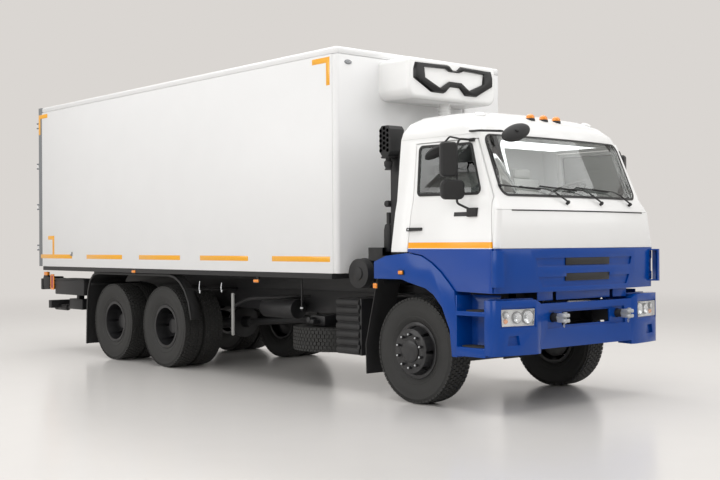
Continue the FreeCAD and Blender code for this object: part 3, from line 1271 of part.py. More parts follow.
def make_front_end():
    """Bumper with lamp openings, lamps, tow pins and the brackets that carry them."""
    t = d.bumper_thickness
    axle = size("front_axle_x")
    skin = size("bumper_thickness")
    outer = bumper_shape(0)
    shell = outer.cut(bumper_shape(skin).fuse(
        Part.makeBox(120, 2 * (BUMPER_POD[-1][1] - skin), 480, at(size("bumper_rear_x") - 100,
                     skin - BUMPER_POD[-1][1], size("bumper_bottom_z") + skin))))
    for title, inner, reach, low, high, depth in BUMPER_POCKETS:
        spans = [(-reach, reach)] if inner == 0 else [(inner, reach), (-reach, -inner)]
        for start, end in spans:
            bed = plate_x([(start - skin, low - skin), (end + skin, low - skin),
                           (end + skin, high + skin), (start - skin, high + skin)],
                          axle + 1080, axle + 1400)
            hole = plate_x([(start, low), (end, low), (end - 20, high), (start + 20, high)],
                           axle + 1080, axle + 1400)
            back = outer.copy()
            back.translate(Vec(-depth - skin, 0, 0))
            cup = outer.copy()
            cup.translate(Vec(-depth, 0, 0))
            shell = shell.fuse(bed.common(outer).cut(back)).cut(hole.cut(cup))
    lamps = []
    for name, side in SIDES:
        hole, lens = [plate_x([(side * y, z) for y, z in drawn_in(HEADLAMP, gap)],
                              axle + 1080, axle + 1400) for gap in (0, size("lamp_gap"))]
        back = outer.copy()
        back.translate(Vec(-60, 0, 0))
        front = outer.copy()
        front.translate(Vec(-4, 0, 0))
        lamps.append(shaped("lamp_%s_body" % name, lens.common(front).cut(back)))
        cup = outer.copy()
        cup.translate(Vec(-75, 0, 0))
        shell = shell.cut(hole.cut(cup))
    mouth = plate_x([(-380, 812), (380, 812), (372, 940), (-372, 940)], axle + 1100, axle + 1400)
    bumper = shaped("bumper_shell", shell.cut(mouth).removeSplitter())
    holes = []
    brackets = []
    start = FRONT_X + d.rail_front_overhang - 60
    back = FRONT_X + d.bumper_front_x - t - d.recess_depth - 12
    plate = prism("front_bracket", "XZ_Plane", d.frame_half_width, d.bracket_width, [
        (start, d.tow_pin_z - 90), (back, d.tow_pin_z - 70), (back, d.tow_pin_z + 70),
        (start, d.tow_pin_z + 110)])
    pin = rod("tow_pin", "X", back - 100, d.tow_pin_y, d.tow_pin_z, d.tow_pin_body,
              FRONT_X + d.tow_pin_x - back + 100)
    collar = rod("tow_collar", "X", back - 100, d.tow_pin_y, d.tow_pin_z, d.tow_collar_radius,
                 FRONT_X + d.tow_pin_x - d.tow_pin_length - back + 100)
    pivot_x = FRONT_X + d.tilt_pivot_x
    pivot_low = d.tilt_pivot_z
    arm = prism("pivot_arm", "XZ_Plane", d.frame_half_width, d.pivot_y - 1 - d.frame_half_width, [
        (FRONT_X + 780, RAIL_TOP - 120), (FRONT_X + 950, RAIL_TOP - 120),
        (FRONT_X + 1000, RAIL_TOP - 60), (pivot_x + 20, pivot_low - 45), (pivot_x + 26, pivot_low),
        (pivot_x + 12, pivot_low + 24), (pivot_x - 12, pivot_low + 24), (pivot_x - 26, pivot_low + 2),
        (pivot_x - 26, pivot_low - 34), (pivot_x - 70, pivot_low - 60), (FRONT_X + 950, RAIL_TOP),
        (FRONT_X + 780, RAIL_TOP)])
    pivot = rod("pivot_pin", "Y", pivot_x, d.frame_half_width + 4, pivot_low, d.pivot_radius,
                d.pivot_y + d.pivot_thickness + 8 - d.frame_half_width)
    holes += [rod("tow_hole_" + name, "X", back - 50, side * d.tow_pin_y, d.tow_pin_z,
                  d.tow_collar_radius + d.collar_gap, d.tow_hole_depth) for name, side in SIDES]
    node("front_bumper", cut("bumper_cut", bumper, holes))
    rest = block("cab_rest", FRONT_X + d.cab_rear_x + 44, d.frame_half_width - 60, RAIL_TOP,
                 Dim("70", 70), Dim("60", 60), 1547 - RAIL_TOP)
    left = joined("front_mounts_left", [plate, pin, collar, arm, pivot, rest])
    return lamps, [left, mirrored("front_mounts_right", left)]


def make_fenders():
    """Front wheel arches, one each side, cut from a curved strip."""
    outer = [(-514, 1251), (-514, 1425), (-331, 1485)] + arch_points() + [(660, 900), (668, 523)]
    inner = [(600, 523), (570, 780), (470, 990), (351, 1110), (242, 1169), (-11, 1225), (-100, 1251)]
    points = [(FRONT_X + x, Dim(repr(z), z)) for x, z in outer + inner]
    left = prism("fender_left", "XZ_Plane", Dim("1050", 1050), Dim("225", 225), points)
    pocket = prism("fender_hollow", "XZ_Plane", Dim("1040", 1040), Dim("217", 217), [
        (FRONT_X + x, Dim(repr(z), z)) for x, z in [
            (-498, 1200), (-498, 1410), (-325, 1468), (-22, 1498), (176, 1467), (314, 1401),
            (434, 1318), (536, 1222), (618, 1144), (644, 896), (650, 500), (400, 500), (300, 900)]])
    left = cut("fender_left_cut", left, [pocket])
    post = block("fender_post", FRONT_X - 470, d.frame_half_width - 40, RAIL_TOP, Dim("50", 50),
                 Dim("40", 40), Dim("340", 340))
    stay = rod("fender_stay", "Y", FRONT_X - 445, d.frame_half_width - 20, RAIL_TOP + 300, 20,
               Dim("850", 850))
    flap = prism("front_flap", "XZ_Plane", Dim("905", 905), Dim("330", 330), [
        (FRONT_X + x, Dim(repr(z), z)) for x, z in (
            (-500, 1262), (-512, 1262), (-700, 560), (-690, 250), (-678, 250), (-688, 560))])
    bracket = block("flap_bracket", FRONT_X - 545, d.frame_half_width - 40, Dim("1190", 1190),
                    Dim("50", 50), Dim("760", 760), Dim("40", 40))
    left = joined("fender_left_set", [left, post, stay, flap, bracket])
    return [left, mirrored("fender_right", left)]


STEP_TREADS = [
    # name, top of the tread and bottom of its lip
    ("low", 625, 540), ("high", 965, 925)]


def make_steps():
    """Moulded step housing between the wheel arch and the bumper, with two treads."""
    pieces = []
    start = FRONT_X + d.step_start_x
    length = d.bumper_rear_x - d.step_start_x
    out = d.bumper_half_width - 5
    for name, top, low in STEP_TREADS:
        pieces.append(prism("tread_" + name, "YZ_Plane", start, length, [
            (d.step_inner_y, top - 25), (out - 12, top - 25), (out - 12, Dim(repr(low), low)),
            (out, Dim(repr(low), low)), (out, top), (d.step_inner_y, top)]))
    pieces.append(block("step_back", start, d.step_inner_y, Dim("540", 540), length, Dim("12", 12),
                        Dim("575", 575)))
    pieces.append(block("step_side", start, d.step_inner_y, Dim("540", 540), Dim("12", 12),
                        out - d.step_inner_y, Dim("575", 575)))
    pieces.append(block("step_floor", start, d.step_inner_y, Dim("540", 540), length,
                        out - d.step_inner_y, Dim("8", 8)))
    pieces.append(rod("step_stay", "Y", FRONT_X + 850, d.frame_half_width, Dim("840", 840), 25,
                      d.step_inner_y + 5 - d.frame_half_width))
    left = joined("steps_left", pieces)
    return [left, mirrored("steps_right", left)]


def make_side_equipment():
    """Battery box, fuel tank, spare wheel, air filter and intake stack."""
    x, low, high = FRONT_X - 1330, Dim("410", 410), Dim("1020", 1020)
    cover = prism("battery_cover", "XZ_Plane", Dim("-1090", -1090), Dim("540", 540), [
        (x, low), (x + 410, low), (x + 410, high - 60), (x + 350, high), (x + 60, high),
        (x, high - 60)])
    ribs = [prism("battery_rib_%d" % i, "XZ_Plane", Dim("-1112", -1112), Dim("24", 24), [
        (x + 45 + 72 * i, low + 50), (x + 81 + 72 * i, low + 50), (x + 81 + 72 * i, high - 70),
        (x + 45 + 72 * i, high - 70)]) for i in range(5)]
    cover = joined("battery_case", [cover] + ribs)
    arms = [block("battery_arm_%d" % i, FRONT_X + x, Dim("-560", -560), Dim("850", 850),
                  Dim("60", 60), 560 - d.frame_half_width, Dim("80", 80))
            for i, x in enumerate((-1300, -1060))]
    node("battery_box", joined("battery_set", [cover] + arms))
    tank = block("tank", FRONT_X - 2300, Dim("520", 520), Dim("450", 450), Dim("1150", 1150),
                 Dim("640", 640), Dim("590", 590))
    arms = [block("tank_arm_%d" % i, FRONT_X + x, d.frame_half_width, Dim("860", 860),
                  Dim("60", 60), 521 - d.frame_half_width, Dim("120", 120))
            for i, x in enumerate((-2200, -1300))]
    drums = []
    for i, y in enumerate((-600, 600, 850)):
        drums.append(rod("air_tank_%d" % i, "X", FRONT_X - 3300, Dim(repr(y), y), Dim("820", 820), 120,
                         Dim("650", 650)))
    for i, (low, high) in enumerate(((-600, -432), (432, 850))):
        drums.append(block("air_tank_arm_%d" % i, FRONT_X - 3000, Dim(repr(low), low),
                           Dim("935", 935), Dim("50", 50), Dim(repr(high - low), high - low),
                           Dim("40", 40)))
    node("tanks", joined("tank_set", [tank] + arms + drums))
    y = Dim("-590", -590)
    spare = revolved("spare", [
        (d.rim_radius, -105), (d.rim_radius + 90, -140), (d.tyre_radius - 70, -136),
        (d.tyre_radius, -70), (d.tyre_radius, 70), (d.tyre_radius - 70, 136),
        (d.rim_radius + 90, 140), (d.rim_radius, 105)])
    spare.Placement = FreeCAD.Placement(Vec(), FreeCAD.Rotation(Vec(1, 0, 0), 90))
    place(spare, FRONT_X - 1900, y, Dim("530", 530))
    dish = rod("spare_dish", "Z", FRONT_X - 1900, y, Dim("525", 525), d.rim_radius, Dim("14", 14))
    hanger = rod("spare_hanger", "Z", FRONT_X - 1900, y, Dim("539", 539), 40, Dim("291", 291))
    shelf = block("spare_shelf", FRONT_X - 1980, Dim("-700", -700), Dim("830", 830), Dim("160", 160),
                  700 - d.frame_half_width, Dim("20", 20))
    node("spare_wheel", joined("spare_set", [spare, dish, hanger, shelf]))
    drum = rod("filter_drum", "Y", FRONT_X - 850, Dim("-1200", -1200), Dim("1295", 1295), 157,
               Dim("510", 510))
    lid = rod("filter_lid", "Y", FRONT_X - 850, Dim("-1214", -1214), Dim("1295", 1295), 70,
              Dim("16", 16))
    band = rod("filter_band", "Y", FRONT_X - 850, Dim("-1120", -1120), Dim("1295", 1295), 163,
               Dim("24", 24))
    duct = prism("intake_duct", "XY_Plane", Dim("1486", 1486), Dim("1030", 1030), [
        (FRONT_X - 575, Dim("-1010", -1010)), (FRONT_X - 575, Dim("-1120", -1120)),
        (FRONT_X - 560, Dim("-1135", -1135)), (FRONT_X - 420, Dim("-1135", -1135)),
        (FRONT_X - 400, Dim("-1115", -1115)), (FRONT_X - 400, Dim("-1010", -1010))])
    head = prism("intake_head", "XZ_Plane", Dim("-1144", -1144), Dim("200", 200), [
        (FRONT_X - 400, Dim("2570", 2570)), (FRONT_X - 400, Dim("2800", 2800)),
        (FRONT_X - 430, Dim("2838", 2838)), (FRONT_X - 530, Dim("2838", 2838)),
        (FRONT_X - 565, Dim("2800", 2800)), (FRONT_X - 565, Dim("2570", 2570)),
        (FRONT_X - 520, Dim("2511", 2511)), (FRONT_X - 445, Dim("2511", 2511))])
    rings = [rod("intake_ring_%d" % i, "Z", FRONT_X - 492, Dim("-1085", -1085),
                 Dim(repr(z), z), 58, Dim("12", 12)) for i, z in enumerate((2400, 2424, 2448, 2472))]
    link = block("intake_link", FRONT_X - 800, Dim("-1100", -1100), Dim("1430", 1430),
                 Dim("300", 300), Dim("140", 140), Dim("140", 140))
    leg = block("intake_leg", FRONT_X - 880, Dim("-740", -740), RAIL_TOP, Dim("60", 60),
                Dim("50", 50), Dim("120", 120))
    foot = block("intake_foot", FRONT_X - 880, Dim("-740", -740), RAIL_TOP, Dim("60", 60),
                 740 - d.frame_half_width + 40, Dim("12", 12))
    node("air_intake", joined("intake", [drum, lid, band, duct, head, link, leg, foot]
                              + rings))


def make_tail():
    """Rear mudguards, underrun bar and tail lamps."""
    points = [(MID_X + 690, 640), (MID_X + 640, 1000), (MID_X + 420, 1215), (REAR_X - 420, 1228),
              (REAR_X - 640, 1010), (REAR_X - 790, 180), (REAR_X - 780, 178), (REAR_X - 628, 1004),
              (REAR_X - 414, 1218), (MID_X + 414, 1205), (MID_X + 630, 994), (MID_X + 680, 638)]
    points = [(x, Dim(repr(z), z)) for x, z in points]
    pieces = [prism("guard_left", "XZ_Plane", Dim("660", 660), Dim("600", 600), points)]
    for i, (x, z) in enumerate(((MID_X + 655, 870), (REAR_X - 655, 900))):
        pieces.append(rod("guard_stay_%d" % i, "Y", x, d.frame_half_width, Dim(repr(z), z), 18,
                          1240 - d.frame_half_width))
    left = joined("guard_left_set", pieces)
    node("rear_mudguards", joined("guard_pair", [left, mirrored("guard_right", left)]))
    depth = Dim("100", 100)
    x = d.rail_rear_x - depth
    bar = block("underrun_bar", x, Dim("-1150", -1150), Dim("640", 640), depth,
                Dim("2300", 2300), Dim("120", 120))
    post = block("underrun_post", x, Dim("372", 372), Dim("700", 700), depth, Dim("60", 60),
                 Dim("350", 350))
    shelf = block("lamp_shelf", x, Dim("372", 372), Dim("930", 930), Dim("12", 12), Dim("878", 878),
                  Dim("60", 60))
    left = joined("underrun_left", [post, shelf])
    node("rear_underrun", joined("underrun", [bar, left, mirrored("underrun_right", left)]))
    lamp = block("tail_lamp_left", x - 70, Dim("850", 850), Dim("930", 930), Dim("70", 70),
                 Dim("400", 400), Dim("170", 170))
    return [lamp, mirrored("tail_lamp_right", lamp)]


# ---------------------------------------------------------------- assembly
node("box_bearers", make_bearers())
node("axles", joined("axle_set", [make_front_axle(), make_drive_axles()]))
node("leaf_springs", joined("spring_set", [make_front_springs(), make_bogie_springs()]))
node("drivetrain", make_drivetrain())
make_box_walls()
node("rear_portal", make_portal())
leaf = make_rear_door("rear_left", LEFT)
rear_left = node("rear_door_left", joined("rear_leaf_left", [leaf, make_door_gear("gear")]))
node("rear_door_right", mirrored("rear_leaf_right", rear_left))
make_unit()
make_cab()
make_cab_inside()
for name, side in SIDES:
    node("door_mirrors_" + name, make_mirrors(name, side, NODES["door_" + name]))
headlamps, tow_pins = make_front_end()
node("frame_rails", joined("frame_set", [make_frame()] + tow_pins))
node("front_fenders", joined("fender_set", make_fenders() + make_steps()))
make_side_equipment()
node("lamps", joined("lamp_set", headlamps + make_tail()))
for name, side in SIDES:
    node("knuckle_" + name, make_knuckle(name, side))
    node("front_rim_" + name, make_front_wheel(name, side))
    tyre = make_tyre("front_tyre_%s_ring" % name, FRONT_X, side * d.front_tyre_y, AXLE_Z)
    node("front_tyre_" + name, tyre)
    for axle, x in (("mid", MID_X), ("rear", REAR_X)):
        node("%s_rims_%s" % (axle, name), make_rear_wheel("%s_rims_%s" % (axle, name), x, side))
        node("%s_tyres_%s" % (axle, name), make_twin_tyres("%s_tyres_%s" % (axle, name), x, side))

doc.recompute()
for thing in doc.Objects:
    if "Invalid" in thing.State or "Error" in thing.State:
        raise RuntimeError("%s did not build: %s" % (thing.Name, thing.State))
os.makedirs("parts", exist_ok=True)
for label, thing in NODES.items():
    shape = thing.Shape
    if shape.isNull() or not shape.isValid():
        raise RuntimeError("%s has no valid shape" % label)
    shape.exportStep(os.path.join("parts", label + ".step"))
    print("%s %d solids %.1f litres" % (label, len(shape.Solids), shape.Volume / 1e6))
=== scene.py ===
"""Studio scene of a three-axle refrigerated truck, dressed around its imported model."""
import json
import logging
import math
from dataclasses import dataclass
from enum import Enum
from typing import Callable, Sequence

import bpy
from mathutils import Matrix, Vector
from mathutils.bvhtree import BVHTree

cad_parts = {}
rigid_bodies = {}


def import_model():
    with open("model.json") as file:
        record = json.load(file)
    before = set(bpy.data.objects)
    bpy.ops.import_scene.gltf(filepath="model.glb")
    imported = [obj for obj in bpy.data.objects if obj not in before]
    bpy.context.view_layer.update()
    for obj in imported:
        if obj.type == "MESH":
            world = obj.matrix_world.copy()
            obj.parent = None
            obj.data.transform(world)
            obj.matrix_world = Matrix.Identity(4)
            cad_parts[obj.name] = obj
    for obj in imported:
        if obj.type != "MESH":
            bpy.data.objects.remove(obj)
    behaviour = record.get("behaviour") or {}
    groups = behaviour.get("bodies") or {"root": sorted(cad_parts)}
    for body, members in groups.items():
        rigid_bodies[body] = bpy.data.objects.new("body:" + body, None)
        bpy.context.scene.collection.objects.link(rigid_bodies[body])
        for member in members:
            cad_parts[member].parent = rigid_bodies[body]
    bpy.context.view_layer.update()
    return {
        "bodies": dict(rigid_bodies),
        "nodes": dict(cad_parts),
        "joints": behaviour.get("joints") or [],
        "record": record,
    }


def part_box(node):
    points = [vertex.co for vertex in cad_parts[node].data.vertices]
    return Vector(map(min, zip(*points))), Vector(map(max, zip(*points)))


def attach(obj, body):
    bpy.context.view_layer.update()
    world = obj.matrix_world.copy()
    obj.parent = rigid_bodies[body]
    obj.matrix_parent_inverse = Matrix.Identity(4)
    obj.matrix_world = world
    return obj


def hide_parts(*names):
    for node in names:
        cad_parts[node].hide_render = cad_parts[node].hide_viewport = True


LOG = logging.getLogger("truck")
MM = 1000.0
Point = tuple[float, float, float]
Flat = tuple[float, float]
Piece = bpy.types.Object
Socket = bpy.types.NodeSocket
# name, span ahead of the front axle, outward and up, rounding
Bar = tuple[str, Flat, Flat, Flat, float]
FRAME: dict = {}


class Side(Enum):
    """The vehicle's own left and right, with the sign of its Y."""

    LEFT = 1
    RIGHT = -1

    @property
    def word(self) -> str:
        """The side's name as the nodes spell it."""
        return self.name.lower()

    def at(self, x: float, y: float, z: float) -> Point:
        """Place at x ahead of the front axle, y outward on this side and z over the ground."""
        return FRAME["axle_x"] + x, self.value * y, z

    def span(self, near: float, far: float) -> Flat:
        """Lower and upper Y of a stretch given outward from the middle plane."""
        low, high = sorted((self.value * near, self.value * far))
        return low, high

    def way(self) -> Point:
        """Direction from this side in towards the middle plane."""
        return 0, -self.value, 0


class Plane(Enum):
    """Plane of an outline. Its value is the axis that the outline is thickened along."""

    YZ = 0
    XZ = 1
    XY = 2


# ------------------------------------------------------------------ finishes
def linear(code: str) -> tuple[float, float, float, float]:
    """Turn six hex digits of sRGB into linear red, green and blue with an alpha of one."""
    parts = [int(code[i:i + 2], 16) / 255 for i in (0, 2, 4)]
    return (*(c / 12.92 if c <= 0.04045 else ((c + 0.055) / 1.055) ** 2.4 for c in parts), 1.0)


def shade(tone: Sequence[float], share: float) -> tuple[float, ...]:
    """A linear colour made darker or lighter by a share."""
    return tuple(min(1, c * share) for c in tone[:3]) + (1.0,)


class Graph:
    """Node tree of one material or world."""

    def __init__(self, owner: bpy.types.ID) -> None:
        """Empty the owner's tree.

        Args:
            owner: Material or world that the tree belongs to.
        """
        self.owner = owner
        owner.use_nodes = True
        owner.node_tree.nodes.clear()

    def add(self, kind: str, settings: dict | None = None,
            links: dict | None = None) -> bpy.types.Node:
        """Add a node with its settings and links.

        Args:
            kind: Node type without its ShaderNode prefix.
            settings: Attribute or socket names, or socket numbers, to values.
            links: Socket names or numbers to the output sockets that feed them.

        Returns:
            The new node.
        """
        node = self.owner.node_tree.nodes.new("ShaderNode" + kind)
        for key, value in (settings or {}).items():
            if isinstance(key, str) and hasattr(node, key):
                setattr(node, key, value)
            else:
                node.inputs[key].default_value = value
        for key, output in (links or {}).items():
            self.owner.node_tree.links.new(output, node.inputs[key])
        return node

    def math(self, kind: str, first: Socket, second: float | Socket) -> Socket:
        """Combine a socket with a number or with another socket.

        Args:
            kind: Operation.
            first: Socket of the first value.
            second: Number or socket of the second value.

        Returns:
            The result's output socket.
        """
        if isinstance(second, float):
            return self.add("Math", {"operation": kind, 1: second}, {0: first}).outputs[0]
        return self.add("Math", {"operation": kind}, {0: first, 1: second}).outputs[0]

    def noise(self, where: Socket, size_mm: float, detail: float) -> Socket:
        """Soft noise with spots of a given size."""
        return self.add("TexNoise", {"Scale": 1 / size_mm, "Detail": detail}, {"Vector": where}).outputs[0]

    def ramp(self, share: Socket, low: Sequence[float], high: Sequence[float],
             ends: Flat = (0.0, 1.0)) -> Socket:
        """Blend from one colour to another between two values.

        Args:
            share: Socket of the value.
            low: Colour at the low end.
            high: Colour at the high end.
            ends: Values at which the two colours are reached.

        Returns:
            The colour's output socket.
        """
        node = self.add("ValToRGB", None, {"Fac": share})
        for stop, place, tone in zip(node.color_ramp.elements, ends, (low, high)):
            stop.position, stop.color = place, tone
        return node.outputs["Color"]

    def skin(self, settings: dict, links: dict, height: Socket, strength: float,
             height_mm: float) -> Socket:
        """Principled surface with a bump.

        Args:
            settings: Values of its sockets.
            links: Output sockets that feed its sockets.
            height: Socket that drives the bump.
            strength: Strength of the bump.
            height_mm: Height of the bump.

        Returns:
            The shader's output socket.
        """
        bump = self.add("Bump", {"Strength": strength, "Distance": height_mm / MM}, {"Height": height})
        return self.add("BsdfPrincipled", settings, {**links, "Normal": bump.outputs[0]}).outputs[0]


MADE: dict[str, bpy.types.Material] = {}


@dataclass(frozen=True)
class Finish:
    """A surface: its common name, colour, the record's material slot and base values."""

    name: str
    colour: str
    slot: str
    roughness: float = 0.4
    metallic: float = 0.0
    ior: float = 1.5
    coat: float = 0.0
    grain_mm: float = 4.0
    grain_height_mm: float = 0.05
    mottle: float = 0.04
    mottle_mm: float = 400.0
    rough_spread: float = 0.06

    def material(self) -> bpy.types.Material:
        """Build the material the first time that it is asked for.

        Returns:
            The material.
        """
        if self.name not in MADE:
            graph = Graph(bpy.data.materials.new(self.name))
            place = graph.add("TexCoord").outputs["Object"]
            where = graph.add("VectorMath", {"operation": "SCALE", "Scale": MM}, {0: place}).outputs[0]
            graph.add("OutputMaterial", None, {"Surface": self.shader(graph, where)})
            MADE[self.name] = graph.owner
        return MADE[self.name]

    def base(self, graph: Graph, where: Socket) -> Socket:
        """Slightly uneven base colour.

        Args:
            graph: Tree of the material.
            where: Place on the piece, in millimetres.

        Returns:
            The colour's output socket.
        """
        tone = linear(self.colour)
        return graph.ramp(graph.noise(where, self.mottle_mm, 3.0), shade(tone, 1 - self.mottle),
                          shade(tone, 1 + self.mottle), (0.3, 0.7))

    def shader(self, graph: Graph, where: Socket) -> Socket:
        """Painted or moulded surface with its own grain, at a place in millimetres.

        Args:
            graph: Tree of the material.
            where: Place on the piece, in millimetres.

        Returns:
            The shader's output socket.
        """
        grain = graph.noise(where, self.grain_mm, 2.0)
        uneven = graph.add("MapRange", {"To Min": max(0.02, self.roughness - self.rough_spread),
                                        "To Max": self.roughness + self.rough_spread}, {"Value": grain})
        return graph.skin({"Metallic": self.metallic, "IOR": self.ior, "Coat Weight": self.coat,
                           "Coat Roughness": 0.06},
                          {"Base Color": self.base(graph, where), "Roughness": uneven.outputs[0]},
                          grain, 0.6, self.grain_height_mm)


@dataclass(frozen=True)
class BandedEnamel(Finish):
    """Cab enamel in two colours with one strip of tape, divided by height."""

    low_colour: str = "0C4197"
    tape_colour: str = "F9A602"
    split_z: float = 1.556
    tape_low: float = 1.563
    tape_high: float = 1.620
    split_x: float = -99.0

    def base(self, graph: Graph, where: Socket) -> Socket:
        """Colour bands by height over the ground, behind split_x all in the upper colour.

        Args:
            graph: Tree of the material.
            where: Place on the piece, in millimetres.

        Returns:
            The colour's output socket.
        """
        along, _, height = graph.add("SeparateXYZ", None, {0: where}).outputs
        ahead = graph.math("GREATER_THAN", along, self.split_x * MM)
        low = graph.math("MULTIPLY", graph.math("LESS_THAN", height, self.split_z * MM), ahead)
        over = graph.math("GREATER_THAN", height, self.tape_low * MM)
        under = graph.math("LESS_THAN", height, self.tape_high * MM)
        band = graph.math("MULTIPLY", graph.math("MULTIPLY", over, under), ahead)
        two = graph.add("MixRGB", {2: linear(self.low_colour)}, {0: low, 1: super().base(graph, where)})
        return graph.add("MixRGB", {2: linear(self.tape_colour)}, {0: band, 1: two.outputs[0]}).outputs[0]


@dataclass(frozen=True)
class SafetyGlass(Finish):
    """Toughened float glass with a faint body tint."""

    def shader(self, graph: Graph, where: Socket) -> Socket:
        """Clear shader with a slow ripple from the toughening furnace."""
        return graph.skin({"Base Color": linear(self.colour), "Roughness": self.roughness, "IOR": 1.52,
                           "Transmission Weight": 1.0}, {}, graph.noise(where, 260.0, 1.0), 0.15, 0.4)


@dataclass(frozen=True)
class PrismTape(Finish):
    """Retro-reflective tape: coloured film over rows of small prisms."""

    cell_mm: float = 9.0

    def shader(self, graph: Graph, where: Socket) -> Socket:
        """Diamond cells, drawn about twice as coarse as the real ones so that they show.

        Args:
            graph: Tree of the material.
            where: Place on the piece, in millimetres.

        Returns:
            The shader's output socket.
        """
        cells = graph.add("TexVoronoi", {"Scale": 1 / self.cell_mm, "distance": "MANHATTAN"},
                          {"Vector": where}).outputs["Distance"]
        tone = linear(self.colour)
        return graph.skin({"Roughness": 0.28, "Coat Weight": 0.5},
                          {"Base Color": graph.ramp(cells, tone, shade(tone, 0.82))}, cells, 0.3, 0.3)


@dataclass(frozen=True)
class StudioFloor(Finish):
    """Glossy floor that takes the backdrop's own colour far away, so that no horizon shows."""

    backdrop: str = "DAD6D2"
    near_m: float = 9.0
    far_m: float = 26.0

    def shader(self, graph: Graph, where: Socket) -> Socket:
        """Mix the coated floor with the backdrop's light by distance from the truck.

        Args:
            graph: Tree of the material.
            where: Place on the piece, in millimetres.

        Returns:
            The shader's output socket.
        """
        coat = graph.skin({"Roughness": self.roughness, "IOR": 1.45},
                          {"Base Color": self.base(graph, where)},
                          graph.noise(where, self.grain_mm, 2.0), 0.6, self.grain_height_mm)
        glow = graph.add("Emission", {"Color": linear(self.backdrop), "Strength": 1.0}).outputs[0]
        reach = graph.add("VectorMath", {"operation": "LENGTH"}, {0: where}).outputs["Value"]
        share = graph.add("MapRange", {"From Min": self.near_m * MM, "From Max": self.far_m * MM,
                                       "interpolation_type": "SMOOTHSTEP"}, {"Value": reach}).outputs[0]
        return graph.add("MixShader", None, {0: share, 1: coat, 2: glow}).outputs[0]


@dataclass(frozen=True)
class WovenCloth(Finish):
    """Plain weave with a soft sheen."""

    thread_mm: float = 3.0

    def shader(self, graph: Graph, where: Socket) -> Socket:
        """Crossed threads as bump and as a faint change of colour.

        Args:
            graph: Tree of the material.
            where: Place on the piece, in millimetres.

        Returns:
            The shader's output socket.
        """
        warp, weft = (graph.add("TexWave", {"Scale": 1 / self.thread_mm / 6.28, "bands_direction": way},
                                {"Vector": where}).outputs[1] for way in "YZ")
        both = graph.math("MULTIPLY", warp, weft)
        tone = linear(self.colour)
        mixed = graph.add("MixRGB", {1: tone, 2: shade(tone, 0.8)}, {0: both}).outputs[0]
        return graph.skin({"Roughness": self.roughness, "Sheen Weight": 0.3}, {"Base Color": mixed},
                          both, 0.4, 0.8)


@dataclass(frozen=True)
class Polycarbonate(Finish):
    """Moulded lamp lens with fine flutes on its inner face."""

    flute_mm: float = 7.0
    clear: float = 0.0

    def shader(self, graph: Graph, where: Socket) -> Socket:
        """Glossy lens with upright flutes.

        Args:
            graph: Tree of the material.
            where: Place on the piece, in millimetres.

        Returns:
            The shader's output socket.
        """
        flutes = graph.add("TexWave", {"Scale": 1 / self.flute_mm / 3.2, "bands_direction": "DIAGONAL",
                                       "Distortion": 0.0}, {"Vector": where}).outputs[1]
        return graph.skin({"Base Color": linear(self.colour), "Roughness": self.roughness, "IOR": 1.58,
                           "Alpha": 1 - 0.92 * self.clear, "Coat Weight": 0.6}, {}, flutes, 0.4, 0.6)


# Gelcoat over glass laminate: smooth, faintly wavy, semi-gloss.
GELCOAT = Finish("gelcoat_laminate", "E2E2E2", "body_white", 0.36, grain_mm=260, grain_height_mm=0.4,
                 mottle=0.008)
# Two-pack enamel sprayed over steel: deep gloss with orange peel.
PEEL = {"grain_mm": 60, "grain_height_mm": 0.02, "rough_spread": 0.02}
WHITE_PEEL = {"colour": "EBEBEA", "slot": "cab_white", "roughness": 0.24, "ior": 1.45, "coat": 0.12,
              "mottle": 0.008, **PEEL}
WHITE_ENAMEL = Finish("white_enamel", **WHITE_PEEL)
BLUE_ENAMEL = Finish("blue_enamel", "043F90", "cab_blue", 0.2, ior=1.33, coat=0.05, mottle=0.012, **PEEL)
DOOR_ENAMEL = BandedEnamel("door_enamel", **WHITE_PEEL)
# The shell carries no tape, and its rear corner stays white down to the wheel arch.
SHELL_ENAMEL = BandedEnamel("shell_enamel", **WHITE_PEEL, tape_high=0.0, split_x=3.456)
# Powder coat on rolled steel: satin black, finely pebbled.
CHASSIS_PAINT = Finish("chassis_powder_coat", "1B1B1D", "chassis_black", 0.48, grain_mm=9,
                       grain_height_mm=0.25)
# Stoved paint on the pressed rims: a little glossier than the frame.
RIM_PAINT = Finish("rim_paint", "141416", "rim_black", 0.42, coat=0.15, grain_mm=12, grain_height_mm=0.08)
# Anodised aluminium extrusion: pale grey, drawn along its length.
EXTRUSION = Finish("anodised_extrusion", "D9DADB", "portal_grey", 0.42, metallic=0.35, grain_mm=30)
# Zinc-rich paint on the steel portal: mid grey and dull.
PORTAL_STEEL = Finish("portal_paint", "7C7F82", "portal_grey", 0.45, metallic=0.2, grain_mm=18)
# Moulded polypropylene: near-black with a spark-eroded grain.
POLYPROPYLENE = Finish("black_polypropylene", "19191A", "plastic_black", 0.56, grain_mm=5,
                       grain_height_mm=0.25)
# Sand-cast iron of engine and gearbox: dark grey and rough.
CAST_IRON = Finish("cast_iron", "3A3A3B", "engine_grey", 0.6, metallic=0.3, grain_mm=7,
                   grain_height_mm=0.5)
# Carbon-black tyre compound, cured in a steel mould.
TYRE_RUBBER = Finish("tyre_rubber", "262625", "tyre_black", 0.66, grain_mm=6, grain_height_mm=0.2,
                     mottle=0.12)
# Extruded rubber of gaskets, blades and buffers: even, dull black.
SEAL_RUBBER = Finish("seal_rubber", "101011", "rubber_black", 0.5, grain_mm=8)
# Polished black moulding: darker than the grained plastic, with clear highlights.
PIANO_BLACK = Finish("piano_black", "0B0B0C", "plastic_black", 0.3, ior=1.4, grain_mm=60,
                     grain_height_mm=0.02)
